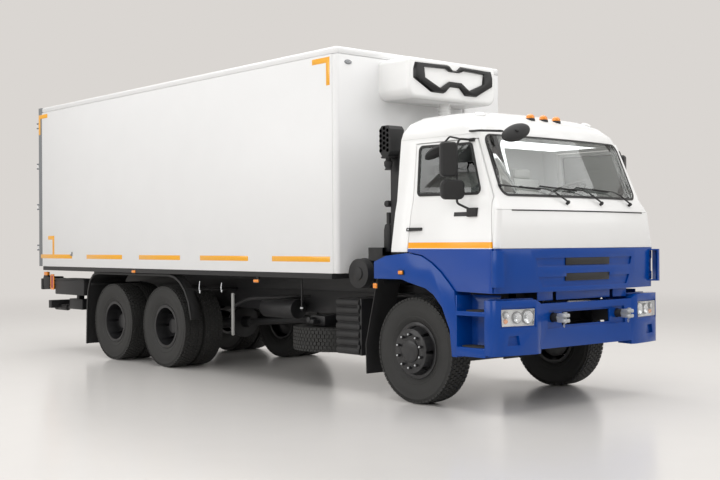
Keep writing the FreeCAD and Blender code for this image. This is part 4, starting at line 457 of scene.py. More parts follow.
# Grained trim of the cabin: warm grey behind the glass.
INTERIOR = Finish("cabin_plastic", "6E6D6A", "interior_grey", 0.6, grain_mm=6, grain_height_mm=0.3)
# Toughened glass: clear in the windscreen, darker in the doors.
GLASS = SafetyGlass("safety_glass", "DDE1E0", "glass", 0.02)
TINTED_GLASS = SafetyGlass("tinted_safety_glass", "777B7A", "glass", 0.02)
# Pale tray behind a headlamp lens: partly the pale aluminising, partly a painted reflection, near-white and
# mostly matt so that the lamp reads bright.
LAMP_TRAY = Finish("aluminised_tray", "EEEFF0", "lamp_clear", 0.3, metallic=0.15, grain_mm=40)
# Prismatic tape: bright amber in small diamonds.
TAPE = PrismTape("retro_tape", "FFB40C", "lamp_amber")
# Lamp lenses: fluted and glossy.
AMBER = Polycarbonate("amber_lens", "F08C12", "lamp_amber", 0.15)
RED = Polycarbonate("red_lens", "A01212", "lamp_amber", 0.15)
CLEAR = Polycarbonate("clear_lens", "F2F4F5", "lamp_clear", 0.03, clear=0.92)
# Zinc-plated steel of studs, nuts and hooks: small bright points.
BRIGHT = Finish("bright_zinc", "C9CCCF", "portal_grey", 0.3, metallic=1.0, grain_mm=10)
# Dull pale casting, as on the tow eyes.
CAST_ZINC = Finish("cast_zinc", "B9BCBE", "portal_grey", 0.5, metallic=0.55, grain_mm=8,
                   grain_height_mm=0.2)
# Vacuum-coated bowls and rims of the lamps: mirror-bright.
REFLECTOR = Finish("lamp_reflector", "D8DADC", "portal_grey", 0.12, metallic=1.0, grain_mm=40)
# Poured resin floor: pale and glossy, fading into the backdrop far from the truck.
FLOOR = StudioFloor("floor_coating", "DEDBD8", "", 0.2, grain_mm=300, grain_height_mm=0.1, mottle=0.006)
# Woven seat cloth over foam: pale grey, drawn about three times as coarse as the real weave.
SEAT_CLOTH = WovenCloth("woven_seat_cloth", "CFCFCB", "interior_grey", 0.85)
# Grit-faced rubber on the step treads: matt and speckled.
TREAD_RUBBER = Finish("tread_rubber", "2C2A28", "plastic_black", 0.8, grain_mm=5, grain_height_mm=0.6,
                      mottle=0.2)
# Painted shade of the intake's open cells: near-black, fully matt discs, since no light comes back out of
# them.
PAINTED_CELL_SHADE = Finish("deep_shadow_plastic", "010101", "plastic_black", 1.0, ior=1.02, grain_mm=8,
                    mottle=0.01)
# Unpainted pale polymer of the side bar, a little chalky.
PALE_POLYMER = Finish("pale_polymer", "8D8D8B", "plastic_black", 0.6, grain_mm=12, grain_height_mm=0.1,
                      mottle=0.1)
# Silvered glass of the mirrors: reflects the studio.
MIRROR_GLASS = Finish("silvered_mirror", "E4E7E8", "glass", 0.02, metallic=1.0, grain_mm=300,
                      grain_height_mm=0.01, rough_spread=0.01)


# ------------------------------------------------------------------ bench
class Bench:
    """Modelling helpers: every piece ends at the origin with its place in its mesh."""

    @staticmethod
    def clear() -> None:
        """Leave edit mode and select nothing."""
        if bpy.context.object and bpy.context.object.mode != "OBJECT":
            bpy.ops.object.mode_set(mode="OBJECT")
        bpy.ops.object.select_all(action="DESELECT")

    @classmethod
    def pick(cls, *things: Piece) -> None:
        """Select only these things and make the first active.

        Args:
            things: Pieces to select.
        """
        cls.clear()
        for thing in things:
            thing.select_set(True)
        bpy.context.view_layer.objects.active = things[0]

    @classmethod
    def settle(cls, thing: Piece, name: str) -> Piece:
        """Name the thing and bake its place into its mesh.

        Args:
            thing: The piece.
            name: Its new name.

        Returns:
            The same piece.
        """
        thing.name = thing.data.name = name
        cls.pick(thing)
        bpy.ops.object.transform_apply(location=True, rotation=True, scale=True)
        return thing

    @classmethod
    def apply(cls, thing: Piece, kind: str, **values: object) -> None:
        """Add a modifier with these values and apply it.

        Args:
            thing: The piece.
            kind: Type of the modifier.
            values: Its settings by name.
        """
        cls.pick(thing)
        modifier = thing.modifiers.new(kind.lower(), kind)
        for key, value in values.items():
            setattr(modifier, key, value)
        bpy.ops.object.modifier_apply(modifier=modifier.name)

    @classmethod
    def edit(cls, thing: Piece, *steps: Callable[[], object]) -> None:
        """Run each step in edit mode on the whole mesh.

        Args:
            thing: The piece.
            steps: Operators to run, each with all selected.
        """
        cls.pick(thing)
        bpy.ops.object.mode_set(mode="EDIT")
        for step in steps:
            bpy.ops.mesh.select_all(action="SELECT")
            step()
        bpy.ops.object.mode_set(mode="OBJECT")

    @staticmethod
    def face_out() -> None:
        """Turn the normals of what is selected in edit mode outward."""
        bpy.ops.mesh.normals_make_consistent(inside=False)

    @classmethod
    def loop(cls, count: int, fill: str) -> Piece:
        """A closed loop of vertices to be put in place, filled or not.

        Args:
            count: Number of vertices.
            fill: How it is filled: NGON or NOTHING.

        Returns:
            The new piece.
        """
        cls.clear()
        bpy.ops.mesh.primitive_circle_add(vertices=count, fill_type=fill)
        return bpy.context.object

    @classmethod
    def round_edges(cls, thing: Piece, width: float, angle: float = 30.0) -> None:
        """Bevel edges sharper than angle, then smooth the shading.

        Args:
            thing: The piece.
            width: Width of the bevel.
            angle: Least angle of a bevelled edge, in degrees.
        """
        if width:
            cls.apply(thing, "BEVEL", width=width, segments=2, limit_method="ANGLE",
                      angle_limit=math.radians(angle), use_clamp_overlap=True)
        cls.pick(thing)
        bpy.ops.object.shade_smooth_by_angle(angle=math.radians(32))

    @classmethod
    def block(cls, name: str, low: Sequence[float], high: Sequence[float], bevel: float = 0.004) -> Piece:
        """A box with rounded edges between two corners.

        Args:
            name: Name of the piece.
            low: One corner.
            high: The opposite corner.
            bevel: Width of the rounded edges.

        Returns:
            The new piece.
        """
        cls.clear()
        middle = [(a + b) / 2 for a, b in zip(low, high)]
        size = [abs(b - a) for a, b in zip(low, high)]
        bpy.ops.mesh.primitive_cube_add(size=1, location=middle, scale=size)
        thing = cls.settle(bpy.context.object, name)
        cls.round_edges(thing, min(bevel, min(size) * 0.45))
        return thing

    @classmethod
    def bar(cls, name: str, side: Side, x: Flat, y: Flat, z: Flat, bevel: float) -> Piece:
        """A box by its spans: ahead of the front axle, outward on one side, and up."""
        return cls.block(name, side.at(x[0], y[0], z[0]), side.at(x[1], y[1], z[1]), bevel)

    @classmethod
    def rod(cls, name: str, start: Sequence[float], end: Sequence[float], radius: float,
            sides: int = 24, bevel: float = 0.002, far_radius: float | None = None) -> Piece:
        """A round bar from start to end, or a cone where far_radius differs.

        Args:
            name: Name of the piece.
            start: Middle of its first end.
            end: Middle of its other end.
            radius: Radius at the start.
            sides: Number of flats round it.
            bevel: Width of the rounded edges.
            far_radius: Radius at the end, if it differs.

        Returns:
            The new piece.
        """
        cls.clear()
        a, b = Vector(start), Vector(end)
        turn = (b - a).to_track_quat("Z", "Y").to_euler()
        bpy.ops.mesh.primitive_cone_add(
            vertices=sides, radius1=radius, radius2=radius if far_radius is None else far_radius,
            depth=(b - a).length, location=(a + b) / 2, rotation=turn)
        thing = cls.settle(bpy.context.object, name)
        cls.round_edges(thing, min(bevel, radius * 0.4))
        return thing

    @classmethod
    def slab(cls, name: str, points: Sequence[Flat], plane: Plane, low: float, high: float,
             bevel: float = 0.004) -> Piece:
        """A flat outline, thickened across its plane.

        Args:
            name: Name of the piece.
            points: Outline along the plane's two axes.
            plane: Plane of the outline.
            low: Where the thickness starts.
            high: Where it ends.
            bevel: Width of the rounded edges.

        Returns:
            The new piece.
        """
        thing = cls.loop(len(points), "NGON")
        across = plane.value
        free = [i for i in range(3) if i != across]
        for vertex, point in zip(thing.data.vertices, points):
            vertex.co[across] = low
            vertex.co[free[0]], vertex.co[free[1]] = point
        away = tuple((high - low) * (i == across) for i in range(3))
        cls.edit(thing, lambda: bpy.ops.mesh.extrude_region_move(TRANSFORM_OT_translate={"value": away}),
                 cls.face_out)
        cls.settle(thing, name)
        cls.round_edges(thing, bevel)
        return thing

    @classmethod
    def plate(cls, name: str, side: Side, points: Sequence[Flat], y: Flat, bevel: float) -> Piece:
        """An upright outline of (ahead of the front axle, up), thick over an outward span."""
        return cls.slab(name, [(FRAME["axle_x"] + x, z) for x, z in points], Plane.XZ, *side.span(*y), bevel)

    @classmethod
    def lathe(cls, name: str, profile: Sequence[Flat], centre: Sequence[float] = (0, 0, 0),
              axis: Sequence[float] = (0, 0, 1), steps: int = 48, bevel: float = 0.0) -> Piece:
        """A closed profile, spun a full turn.

        Args:
            name: Name of the piece.
            profile: Closed loop of radius and distance along the axis.
            centre: Point on the axis at distance nought.
            axis: Direction of the axis.
            steps: Number of steps in the turn.
            bevel: Width of the rounded edges.

        Returns:
            The new piece.
        """
        thing = cls.loop(len(profile), "NOTHING")
        for vertex, (radius, along) in zip(thing.data.vertices, profile):
            vertex.co = (radius, 0, along)
        cls.edit(thing,
                 lambda: bpy.ops.mesh.spin(steps=steps, angle=math.tau, center=(0, 0, 0), axis=(0, 0, 1)),
                 lambda: bpy.ops.mesh.remove_doubles(threshold=0.00002),
                 bpy.ops.mesh.delete_loose, cls.face_out)
        turn = Vector(axis).to_track_quat("Z", "Y").to_matrix().to_4x4()
        thing.data.transform(Matrix.Translation(centre) @ turn)
        cls.settle(thing, name)
        cls.round_edges(thing, bevel)
        return thing

    @classmethod
    def tube(cls, name: str, points: Sequence[Sequence[float]], radius: float, bends: float,
             sides: int) -> Piece:
        """A bent round bar.

        Args:
            name: Name of the piece.
            points: Corners of its middle line.
            radius: Radius of the bar.
            bends: How far before and after a corner the bend reaches.
            sides: Number of flats in a quarter turn, less one.

        Returns:
            The new piece.
        """
        cls.clear()
        curve = bpy.data.curves.new(name, "CURVE")
        curve.dimensions = "3D"
        curve.bevel_depth = radius
        curve.bevel_resolution = sides
        curve.use_fill_caps = True
        path = [Vector(points[0])]
        for before, corner, after in (map(Vector, trio) for trio in zip(points, points[1:], points[2:])):
            back, on = before - corner, after - corner
            reach = min(bends, back.length * 0.45, on.length * 0.45)
            start, end = corner + back.normalized() * reach, corner + on.normalized() * reach
            path += [start * (1 - t) ** 2 + corner * 2 * t * (1 - t) + end * t ** 2
                     for t in (i / 6 for i in range(7))]
        path.append(Vector(points[-1]))
        line = curve.splines.new("POLY")
        line.points.add(len(path) - 1)
        for spot, place in zip(line.points, path):
            spot.co = (*place, 1)
        thing = bpy.data.objects.new(name, curve)
        bpy.context.collection.objects.link(thing)
        cls.pick(thing)
        bpy.ops.object.convert(target="MESH")
        thing = cls.settle(bpy.context.object, name)
        bpy.ops.object.shade_smooth_by_angle(angle=math.radians(40))
        return thing

    @classmethod
    def join(cls, name: str, things: Sequence[Piece]) -> Piece:
        """Join several pieces into one.

        Args:
            name: Name of the result.
            things: Pieces to join.

        Returns:
            The joined piece.
        """
        cls.pick(*things)
        if len(things) > 1:
            bpy.ops.object.join()
        return cls.settle(bpy.context.object, name)

    @classmethod
    def copy(cls, thing: Piece, name: str, move: Matrix = Matrix()) -> Piece:
        """A copy with its own mesh, moved by a matrix.

        Args:
            thing: Piece to copy.
            name: Name of the copy.
            move: Matrix that moves the copy's mesh.

        Returns:
            The copy.
        """
        twin = thing.copy()
        twin.data = thing.data.copy()
        twin.data.transform(move)
        bpy.context.collection.objects.link(twin)
        twin.name = twin.data.name = name
        return twin

    @classmethod
    def patch(cls, name: str, node: str, low: Flat, high: Flat, start: Sequence[float],
              aim: Sequence[float], thickness: float, cuts: int) -> Piece:
        """A thin plate that follows a node's surface inside a rectangle.

        Args:
            name: Name of the piece.
            node: Node that carries it.
            low: Lowest corner, along the two axes that aim leaves free.
            high: Highest corner, along the same axes.
            start: Point whose coordinate along aim is where the search starts.
            aim: Direction of the search, along one axis.
            thickness: How far the plate stands off the surface.
            cuts: Number of cells each way.

        Returns:
            The new piece.
        """
        cls.clear()
        bpy.ops.mesh.primitive_grid_add(x_subdivisions=cuts, y_subdivisions=cuts, size=2)
        thing = bpy.context.object
        free = [i for i in range(3) if not aim[i]]
        for vertex in thing.data.vertices:
            place = list(start)
            for axis, share, a, b in zip(free, vertex.co[:2], low, high):
                place[axis] = a + (b - a) * (share + 1) / 2
            spot, normal = touch(node, place, aim)
            vertex.co = spot + normal * thickness
        cls.edit(thing, cls.face_out)
        facing = sum((p.normal * p.area for p in thing.data.polygons), Vector()).dot(Vector(aim))
        cls.apply(thing, "SOLIDIFY", thickness=thickness, offset=-1 if facing < 0 else 1)
        return cls.settle(thing, name)

    @classmethod
    def zone(cls, thing: Piece, finish: Finish, inside: Callable[[Vector], bool]) -> None:
        """Give the faces whose middle lies inside a zone their own finish.

        Args:
            thing: The piece.
            finish: Finish of the zone.
            inside: Test of a face's middle.
        """
        thing.data.materials.append(finish.material())
        for face in thing.data.polygons:
            if inside(face.center):
                face.material_index = len(thing.data.materials) - 1

    @classmethod
    def without(cls, thing: Piece, inside: Callable[[Vector, Vector], bool]) -> None:
        """Delete the faces whose middle and normal pass a test.

        Args:
            thing: The piece.
            inside: Test of a face's middle and normal.
        """
        cls.pick(thing)
        bpy.ops.object.mode_set(mode="EDIT")
        bpy.ops.mesh.select_mode(type="FACE")
        bpy.ops.mesh.select_all(action="DESELECT")
        bpy.ops.object.mode_set(mode="OBJECT")
        for face in thing.data.polygons:
            face.select = inside(face.center, face.normal)
        bpy.ops.object.mode_set(mode="EDIT")
        bpy.ops.mesh.delete(type="FACE")
        bpy.ops.mesh.select_mode(type="VERT")
        bpy.ops.object.mode_set(mode="OBJECT")

    @classmethod
    def softened(cls, node: str, name: str, bevel: float = 0.003) -> Piece:
        """A copy of a node's mesh, merged and with its sharp edges rounded.

        Args:
            node: Name of the node.
            name: Name of the copy.
            bevel: Width of the rounded edges.

        Returns:
            The copy.
        """
        source = FRAME["nodes"][node]
        twin = cls.copy(source, name)
        twin.animation_data_clear()
        twin.hide_viewport = twin.hide_render = False
        twin.hide_set(False)
        twin.parent = None
        twin.matrix_world = source.matrix_world.copy()
        cls.edit(twin, lambda: bpy.ops.mesh.remove_doubles(threshold=0.00005),
                 lambda: bpy.ops.mesh.dissolve_limited(angle_limit=math.radians(0.5)))
        cls.settle(twin, name)
        cls.round_edges(twin, bevel, 35.0)
        return twin


SURFACES: dict[str, BVHTree] = {}


def surface(node: str) -> BVHTree:
    """Search tree of a node's own mesh, in world space, built once.

    Args:
        node: Name of the node.

    Returns:
        The search tree.
    """
    if node not in SURFACES:
        source = FRAME["nodes"][node]
        SURFACES[node] = BVHTree.FromPolygons(
            [source.matrix_world @ v.co for v in source.data.vertices],
            [tuple(p.vertices) for p in source.data.polygons])
    return SURFACES[node]


def touch(node: str, start: Sequence[float], aim: Sequence[float]) -> tuple[Vector, Vector]:
    """Find where a ray meets a node.

    Args:
        node: Name of the node.
        start: Start of the ray.
        aim: Direction of the ray.

    Returns:
        The point and the surface's outward normal there.
    """
    spot, normal, _, _ = surface(node).ray_cast(Vector(start), Vector(aim))
    if spot is None:
        raise RuntimeError("no surface of %s from %s" % (node, tuple(start)))
    return spot, normal if normal.dot(Vector(aim)) < 0 else -normal


def middle_of(node: str) -> Vector:
    """Middle of a node's box."""
    low, high = (Vector(v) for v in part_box(node))
    return (low + high) / 2


def fit(thing: Piece, body: str, finish: Finish, *nodes: str, slot: str = "") -> Piece:
    """Dress a piece, let it ride on a body and stand for nodes.

    Args:
        thing: The piece.
        body: Name of the body that carries it.
        finish: Its surface.
        nodes: Nodes that the piece stands for.
        slot: The record's material slot, where it isn't the finish's own. Not used.

    Returns:
        The same piece.
    """
    thing.data.materials.clear()
    thing.data.materials.append(finish.material())
    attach(thing, body)
    slot or finish.slot
    if nodes:
        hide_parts(*nodes)
    LOG.info("%s on %s, %d faces", thing.name, body, len(thing.data.polygons))
    return thing


# ------------------------------------------------------------------ carried-over nodes
@dataclass
class PlainNodes:
    """Nodes whose form is right: each gets rounded edges and its finish."""

    # name of the node, finish, width of its rounded edges
    finishes: tuple[tuple[str, Finish, float], ...] = (
        ("frame_rails", CHASSIS_PAINT, 0.003), ("box_bearers", CHASSIS_PAINT, 0.003),
        ("axles", CHASSIS_PAINT, 0.003), ("leaf_springs", CHASSIS_PAINT, 0.002),
        ("drivetrain", CAST_IRON, 0.006), ("box_floor", GELCOAT, 0.002),
        ("box_front_wall", GELCOAT, 0.012), ("box_side_walls", GELCOAT, 0.003),
        ("box_roof", GELCOAT, 0.02), ("rear_portal", PORTAL_STEEL, 0.003),
        ("rear_door_left", GELCOAT, 0.002), ("rear_door_right", GELCOAT, 0.002),
        ("cooling_unit", WHITE_ENAMEL, 0.05), ("unit_surround", PIANO_BLACK, 0.003),
        ("cab_shell", SHELL_ENAMEL, 0.003), ("cab_roof", WHITE_ENAMEL, 0.004),
        ("front_panel", WHITE_ENAMEL, 0.003), ("grille_panel", BLUE_ENAMEL, 0.003),
        ("cab_glass", GLASS, 0), ("door_left", DOOR_ENAMEL, 0.002), ("door_right", DOOR_ENAMEL, 0.002),
        ("door_glass_left", TINTED_GLASS, 0), ("door_glass_right", TINTED_GLASS, 0),
        ("door_mirrors_left", POLYPROPYLENE, 0.012), ("door_mirrors_right", POLYPROPYLENE, 0.012),
        ("front_bumper", BLUE_ENAMEL, 0.008), ("front_fenders", BLUE_ENAMEL, 0.004),
        ("tanks", CHASSIS_PAINT, 0.01), ("rear_underrun", CHASSIS_PAINT, 0.003),
        ("knuckle_left", CHASSIS_PAINT, 0.002), ("knuckle_right", CHASSIS_PAINT, 0.002))

    def build(self) -> None:
        """Dress every listed node."""
        slots = {s["node"]: s["material_slot"] for s in FRAME["record"]["subparts"]}
        bodies = {n: b for b, names in FRAME["record"]["behaviour"]["bodies"].items() for n in names}
        zones = self.zones()
        for node, finish, bevel in self.finishes:
            piece = Bench.softened(node, node + "_dressed", bevel)
            fit(piece, bodies[node], finish, node, slot=slots[node])
            if node in zones:
                Bench.zone(piece, *zones[node])

    def zones(self) -> dict[str, tuple[Finish, Callable[[Vector], bool]]]:
        """Parts of a node with their own finish: plastic arches, tow jaws and the bright tank.

        Returns:
            The zone's finish and its test of a face's middle, by node.
        """
        axle = FRAME["axle_x"]
        return {
            "front_fenders": (POLYPROPYLENE, lambda p: p.z < 1.25 and p.x < axle - 0.40
                              or abs(p.y) < 0.9 and p.x < axle - 0.3),
            "frame_rails": (CAST_ZINC, lambda p: p.x > axle + 1.28),
            "tanks": (EXTRUSION, lambda p: p.x > axle - 2.4 and p.y > 0.4 and 0.45 < p.z < 1.04)}


@dataclass
class Wheels:
    """Tyres with tread and shoulders, dressed rims and the spare wheel."""

    radius: float = 0.535
    rim: float = 0.286
    half: float = 0.14
    twin: float = 0.155
    lugs: int = 66
    groove: float = 0.013
    rows: tuple[tuple[float, float, float, float], ...] = (
        # place across, width, depth below the crown, slant of each row of tread blocks
        (-0.121, 0.022, 0.006, 0.0), (-0.085, 0.036, 0.001, 0.14), (-0.042, 0.036, 0.001, -0.14),
        (0.0, 0.034, 0.001, 0.14), (0.042, 0.036, 0.001, -0.14), (0.085, 0.036, 0.001, 0.14),
        (0.121, 0.022, 0.006, 0.0))

    def section(self) -> list[Flat]:
        """Section of the carcass as radius and place across: crown, wall, bead, other wall.

        Returns:
            The closed profile.
        """
        r, rim, half = self.radius, self.rim, self.half
        under = r - self.groove
        crown = [(under - 0.006, -half + 0.016), (under, -half + 0.03), (under, half - 0.03),
                 (under - 0.006, half - 0.016)]
        wall = [(r - 0.05, half - 0.002), (r - 0.056, half - 0.004), (r - 0.1, half),
                (r - 0.15, half - 0.006), (r - 0.19, half - 0.018), (r - 0.196, half - 0.016),
                (r - 0.205, half - 0.02), (rim + 0.012, half - 0.032), (rim + 0.002, half - 0.04)]
        bead = [(rim, half - 0.06), (rim, -half + 0.06)]
        return crown + wall + bead + [(a, -b) for a, b in reversed(wall)]

    def pattern(self) -> Piece:
        """One tyre about the origin, its axis along Y, with rows of tread blocks.

        Returns:
            The tyre.
        """
        parts = [Bench.lathe("ring", self.section(), axis=(0, 1, 0), steps=96)]
        step = math.tau / self.lugs
        reach = step * self.radius * 0.40
        for y, wide, top, slant in self.rows:
            base = Bench.block("block", (self.radius - 0.026, y - wide / 2, -reach),
                               (self.radius - top, y + wide / 2, reach), 0)
            lean = Matrix.Identity(4)
            lean[1][2] = slant
            base.data.transform(Matrix.Translation((0, y, 0)) @ lean @ Matrix.Translation((0, -y, 0)))
            parts += [Bench.copy(base, "lug", Matrix.Rotation(step * (i + 0.5 * (slant > 0)), 4, "Y"))
                      for i in range(self.lugs)]
            bpy.data.objects.remove(base)
        return Bench.join("tyre_pattern", parts)

    def build(self) -> None:
        """Build all tyres and dress the rims."""
        pattern = self.pattern()
        for side in Side:
            for axle in ("front", "mid", "rear"):
                many = "" if axle == "front" else "s"
                body = "%s_wheel%s_%s" % (axle, many, side.word)
                tyre, rim = ("%s_%s%s_%s" % (axle, kind, many, side.word) for kind in ("tyre", "rim"))
                middle = middle_of(tyre)
                shifts = (-self.twin, self.twin) if many else (0.0,)
                copies = [Bench.copy(pattern, "tyre", Matrix.Translation(
                    (middle.x, middle.y + shift, self.radius))) for shift in shifts]
                fit(Bench.join(tyre + "_treaded", copies), body, TYRE_RUBBER, tyre)
                fit(Bench.softened(rim, rim + "_dressed", 0.002), body, RIM_PAINT, rim)
        self.spare(pattern)
        bpy.data.objects.remove(pattern)

    def spare(self, pattern: Piece) -> None:
        """Lay a copy of the tyre flat in its carrier under the box, with a rim and a winch.

        Args:
            pattern: Tyre to copy.
        """
        node = "spare_wheel"
        low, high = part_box(node)
        x, y, _ = middle_of(node)
        centre = (x, y, low[2] + self.half)
        tyre = Bench.copy(pattern, "spare_tyre",
                          Matrix.Translation(centre) @ Matrix.Rotation(math.pi / 2, 4, "X"))
        fit(tyre, "chassis", TYRE_RUBBER, node)
        seat = self.rim + 0.004
        rim = [(0.0, -0.02), (0.09, -0.02), (0.11, 0.03), (0.2, 0.03), (0.262, -0.04), (0.27, -0.1),
               (seat, -0.11), (seat, 0.08), (0.27, 0.07), (0.262, 0.0), (0.205, 0.06), (0.1, 0.06),
               (0.08, 0.0), (0.0, 0.0)]
        fit(Bench.lathe("spare_rim", rim, centre), "chassis", RIM_PAINT, node)
        top = low[2] + 2 * self.half
        drum_z = top + 0.07
        carrier = [Bench.rod("post", centre, (x, y, high[2]), 0.03),
                   Bench.block("winch", (x - 0.13, y - 0.32, top + 0.004), (x + 0.13, y - 0.05, top + 0.12),
                               0.012),
                   Bench.block("cross", (x - 0.04, low[1] + 0.12, top + 0.03),
                               (x + 0.04, high[1] - 0.12, top + 0.08), 0.008),
                   Bench.rod("drum", (x - 0.05, y - 0.33, drum_z), (x - 0.05, y - 0.42, drum_z), 0.035,
                             24, 0.006)]
        fit(Bench.join("spare_carrier", carrier), "chassis", CHASSIS_PAINT, node)


@dataclass
class SafetyMarks:
    """Reflective tape and one small bare plate on each side of the box."""

    strips: tuple[Flat, ...] = ((-2.243, -1.197), (-3.746, -2.716), (-5.243, -4.212),
                                (-6.735, -5.704), (-8.226, -7.191))
    strip_z: Flat = (1.415, 1.475)
    top_angle: tuple[Flat, ...] = ((-1.186, 3.631), (-1.186, 3.324), (-1.246, 3.324), (-1.246, 3.571),
                                   (-1.488, 3.571), (-1.488, 3.631))
    mirror_x: float = -4.735
    low_angle: tuple[Flat, ...] = ((-7.83, 1.475), (-7.77, 1.475), (-7.77, 1.757), (-7.98, 1.757),
                                   (-7.98, 1.70), (-7.83, 1.70))
    chip: tuple[Flat, ...] = ((-7.239, 1.454), (-7.175, 1.454), (-7.175, 1.513), (-7.205, 1.513),
                              (-7.205, 1.480), (-7.239, 1.480))
    thickness: float = 0.0015
    chip_thickness: float = 0.006

    def build(self) -> None:
        """Lay strips and angles on each side, and fix the plate."""
        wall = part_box("box_side_walls")[1][1]
        y = (wall, wall + self.thickness)
        rear_angle = [(2 * self.mirror_x - x, z) for x, z in self.top_angle]
        for side in Side:
            tape = [Bench.bar("strip", side, x, y, self.strip_z, 0.0004) for x in self.strips]
            tape += [Bench.plate("angle", side, shape, y, 0.0004)
                     for shape in (self.top_angle, rear_angle, self.low_angle)]
            fit(Bench.join("side_tape_" + side.word, tape), "chassis", TAPE)
            chip = Bench.plate("side_chip_" + side.word, side, self.chip,
                               (wall, wall + self.chip_thickness), 0.001)
            fit(chip, "chassis", PORTAL_STEEL)


# ------------------------------------------------------------------ cab fittings
@dataclass
class RoofLamps:
    """Three amber marker lamps on the cab roof, each a dome on a dark foot, and two bare caps."""

    radius: float = 0.041
    stretch: float = 1.2
    height: float = 0.050
    inset: float = 0.055
    lap: float = 0.004
    cap_place: Flat = (0.581, 0.84)
    cap_radius: float = 0.055
    cap_height: float = 0.032

    def dome(self, name: str, radius: float, height: float, centre: Sequence[float] = (0, 0, 0),
             axis: Sequence[float] = (0, 0, 1)) -> Piece:
        """A shallow dome that stands on its flat side.

        Args:
            name: Name of the dome.
            radius: Radius of its flat side.
            height: Its height.
            centre: Middle of its flat side.
            axis: Direction in which it stands.

        Returns:
            The dome.
        """
        arc = [(radius * math.cos(a), 0.35 * height + 0.65 * height * math.sin(a))
               for a in (math.pi / 2 * i / 8 for i in range(8))]
        return Bench.lathe(name, [(0, 0), (radius, 0)] + arc + [(0, height)], centre, axis, 32, 0.001)

    def build(self) -> None:
        """Stand the domes where the plain lamp bodies are, and the caps at the roof's corners."""
        low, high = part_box("roof_lamps")
        x = (low[0] + high[0]) / 2
        dome_z = high[2] - self.height
        rise, wide = dome_z - low[2], self.radius * 1.08
        feet, domes = [], []
        for y in (low[1] + self.inset, 0.0, high[1] - self.inset):
            foot = Bench.lathe("foot", [(0, 0), (wide, 0), (wide, rise - self.lap),
                                        (self.radius, rise + self.lap), (0, rise + self.lap)],
                               steps=32, bevel=0.0015)
            dome = self.dome("dome", self.radius * 0.96, self.height)
            for piece, z, group in ((foot, low[2], feet), (dome, dome_z, domes)):
                piece.data.transform(Matrix.Translation((x, y, z))
                                     @ Matrix.Diagonal((1, self.stretch, 1, 1)))
                group.append(piece)
        fit(Bench.join("roof_lamp_feet", feet), "cab", POLYPROPYLENE, "roof_lamps")
        fit(Bench.join("roof_lamp_domes", domes), "cab", AMBER, "roof_lamps")
        caps = []
        for side in Side:
            spot, normal = touch("cab_roof", side.at(*self.cap_place, 4), (0, 0, -1))
            caps.append(self.dome("cap", self.cap_radius, self.cap_height, spot - normal * self.lap, normal))
        fit(Bench.join("roof_caps", caps), "cab", WHITE_ENAMEL)


@dataclass
class Wipers:
    """Three parked wipers, evenly spaced: spindle cap, arm and curved blade."""

    pitch: float = 0.537
    offset: float = 0.297
    spindle_z: float = 1.990
    elbow: Flat = (-0.125, 2.085)
    blade: Flat = (-0.83, -0.31)
    blade_z: Flat = (2.152, 2.118)
    stand_off: float = 0.020
    arm_lift: float = 0.035
    steps: int = 8

    def on_screen(self, y: float, z: float, lift: float) -> Vector:
        """Point off the windscreen, or off its gasket or the panel below it.

        Args:
            y: Place across.
            z: Height over the ground.
            lift: How far off the surface.

        Returns:
            The point.
        """
        hits = []
        for node in ("cab_glass", "cab_trim", "cab_shell", "front_panel"):
            spot, normal, _, _ = surface(node).ray_cast(Vector(Side.LEFT.at(3, y, z)), Vector((-1, 0, 0)))
            if spot is not None:
                hits.append((spot.x, spot, normal if normal.x > 0 else -normal))
        _, spot, normal = max(hits, key=lambda hit: hit[0])
        return spot + normal * lift

    def wiper(self, y: float) -> list[Piece]:
        """One wiper whose spindle stands at y.

        Args:
            y: Place of the spindle across.

        Returns:
            The wiper's parts.
        """
        (start, end), (z0, z1) = self.blade, self.blade_z
        foot = self.on_screen(y, self.spindle_z, 0.0)
        out = (self.on_screen(y, self.spindle_z, 0.05) - foot).normalized()
        elbow = self.on_screen(y + self.elbow[0], self.elbow[1], self.arm_lift)
        middle = self.on_screen(y + (start + end) / 2, sum(self.blade_z) / 2, self.stand_off + 0.012)
        bend = self.on_screen(y + end * 0.8, z1, self.arm_lift)
        line = [self.on_screen(y + start + (end - start) * share, z0 + (z1 - z0) * share, self.stand_off)
                for share in (k / self.steps for k in range(self.steps + 1))]
        return [Bench.rod("spindle", foot - out * 0.004, foot + out * 0.034, 0.015, 20, 0.003),
                Bench.rod("cap", foot + out * 0.02, foot + out * 0.042, 0.020, 20, 0.004, 0.013),
                Bench.tube("arm", [foot + out * 0.03, elbow], 0.0085, 0.02, 4),
                Bench.tube("arm_wire", [elbow, bend, middle], 0.0045, 0.05, 3),
                Bench.tube("blade", line, 0.0075, 0.01, 3),
                Bench.tube("lip", [p - Vector((0.012, 0, 0.002)) for p in line], 0.004, 0.01, 3),
                Bench.block("yoke", middle - Vector((0.006, 0.02, 0.008)),
                            middle + Vector((0.008, 0.02, 0.008)), 0.003)]

    def build(self) -> None:
        """Build the three wipers as one piece."""
        parts = [part for i in (-1, 0, 1) for part in self.wiper(self.offset + self.pitch * i)]
        fit(Bench.join("wipers", parts), "cab", POLYPROPYLENE)


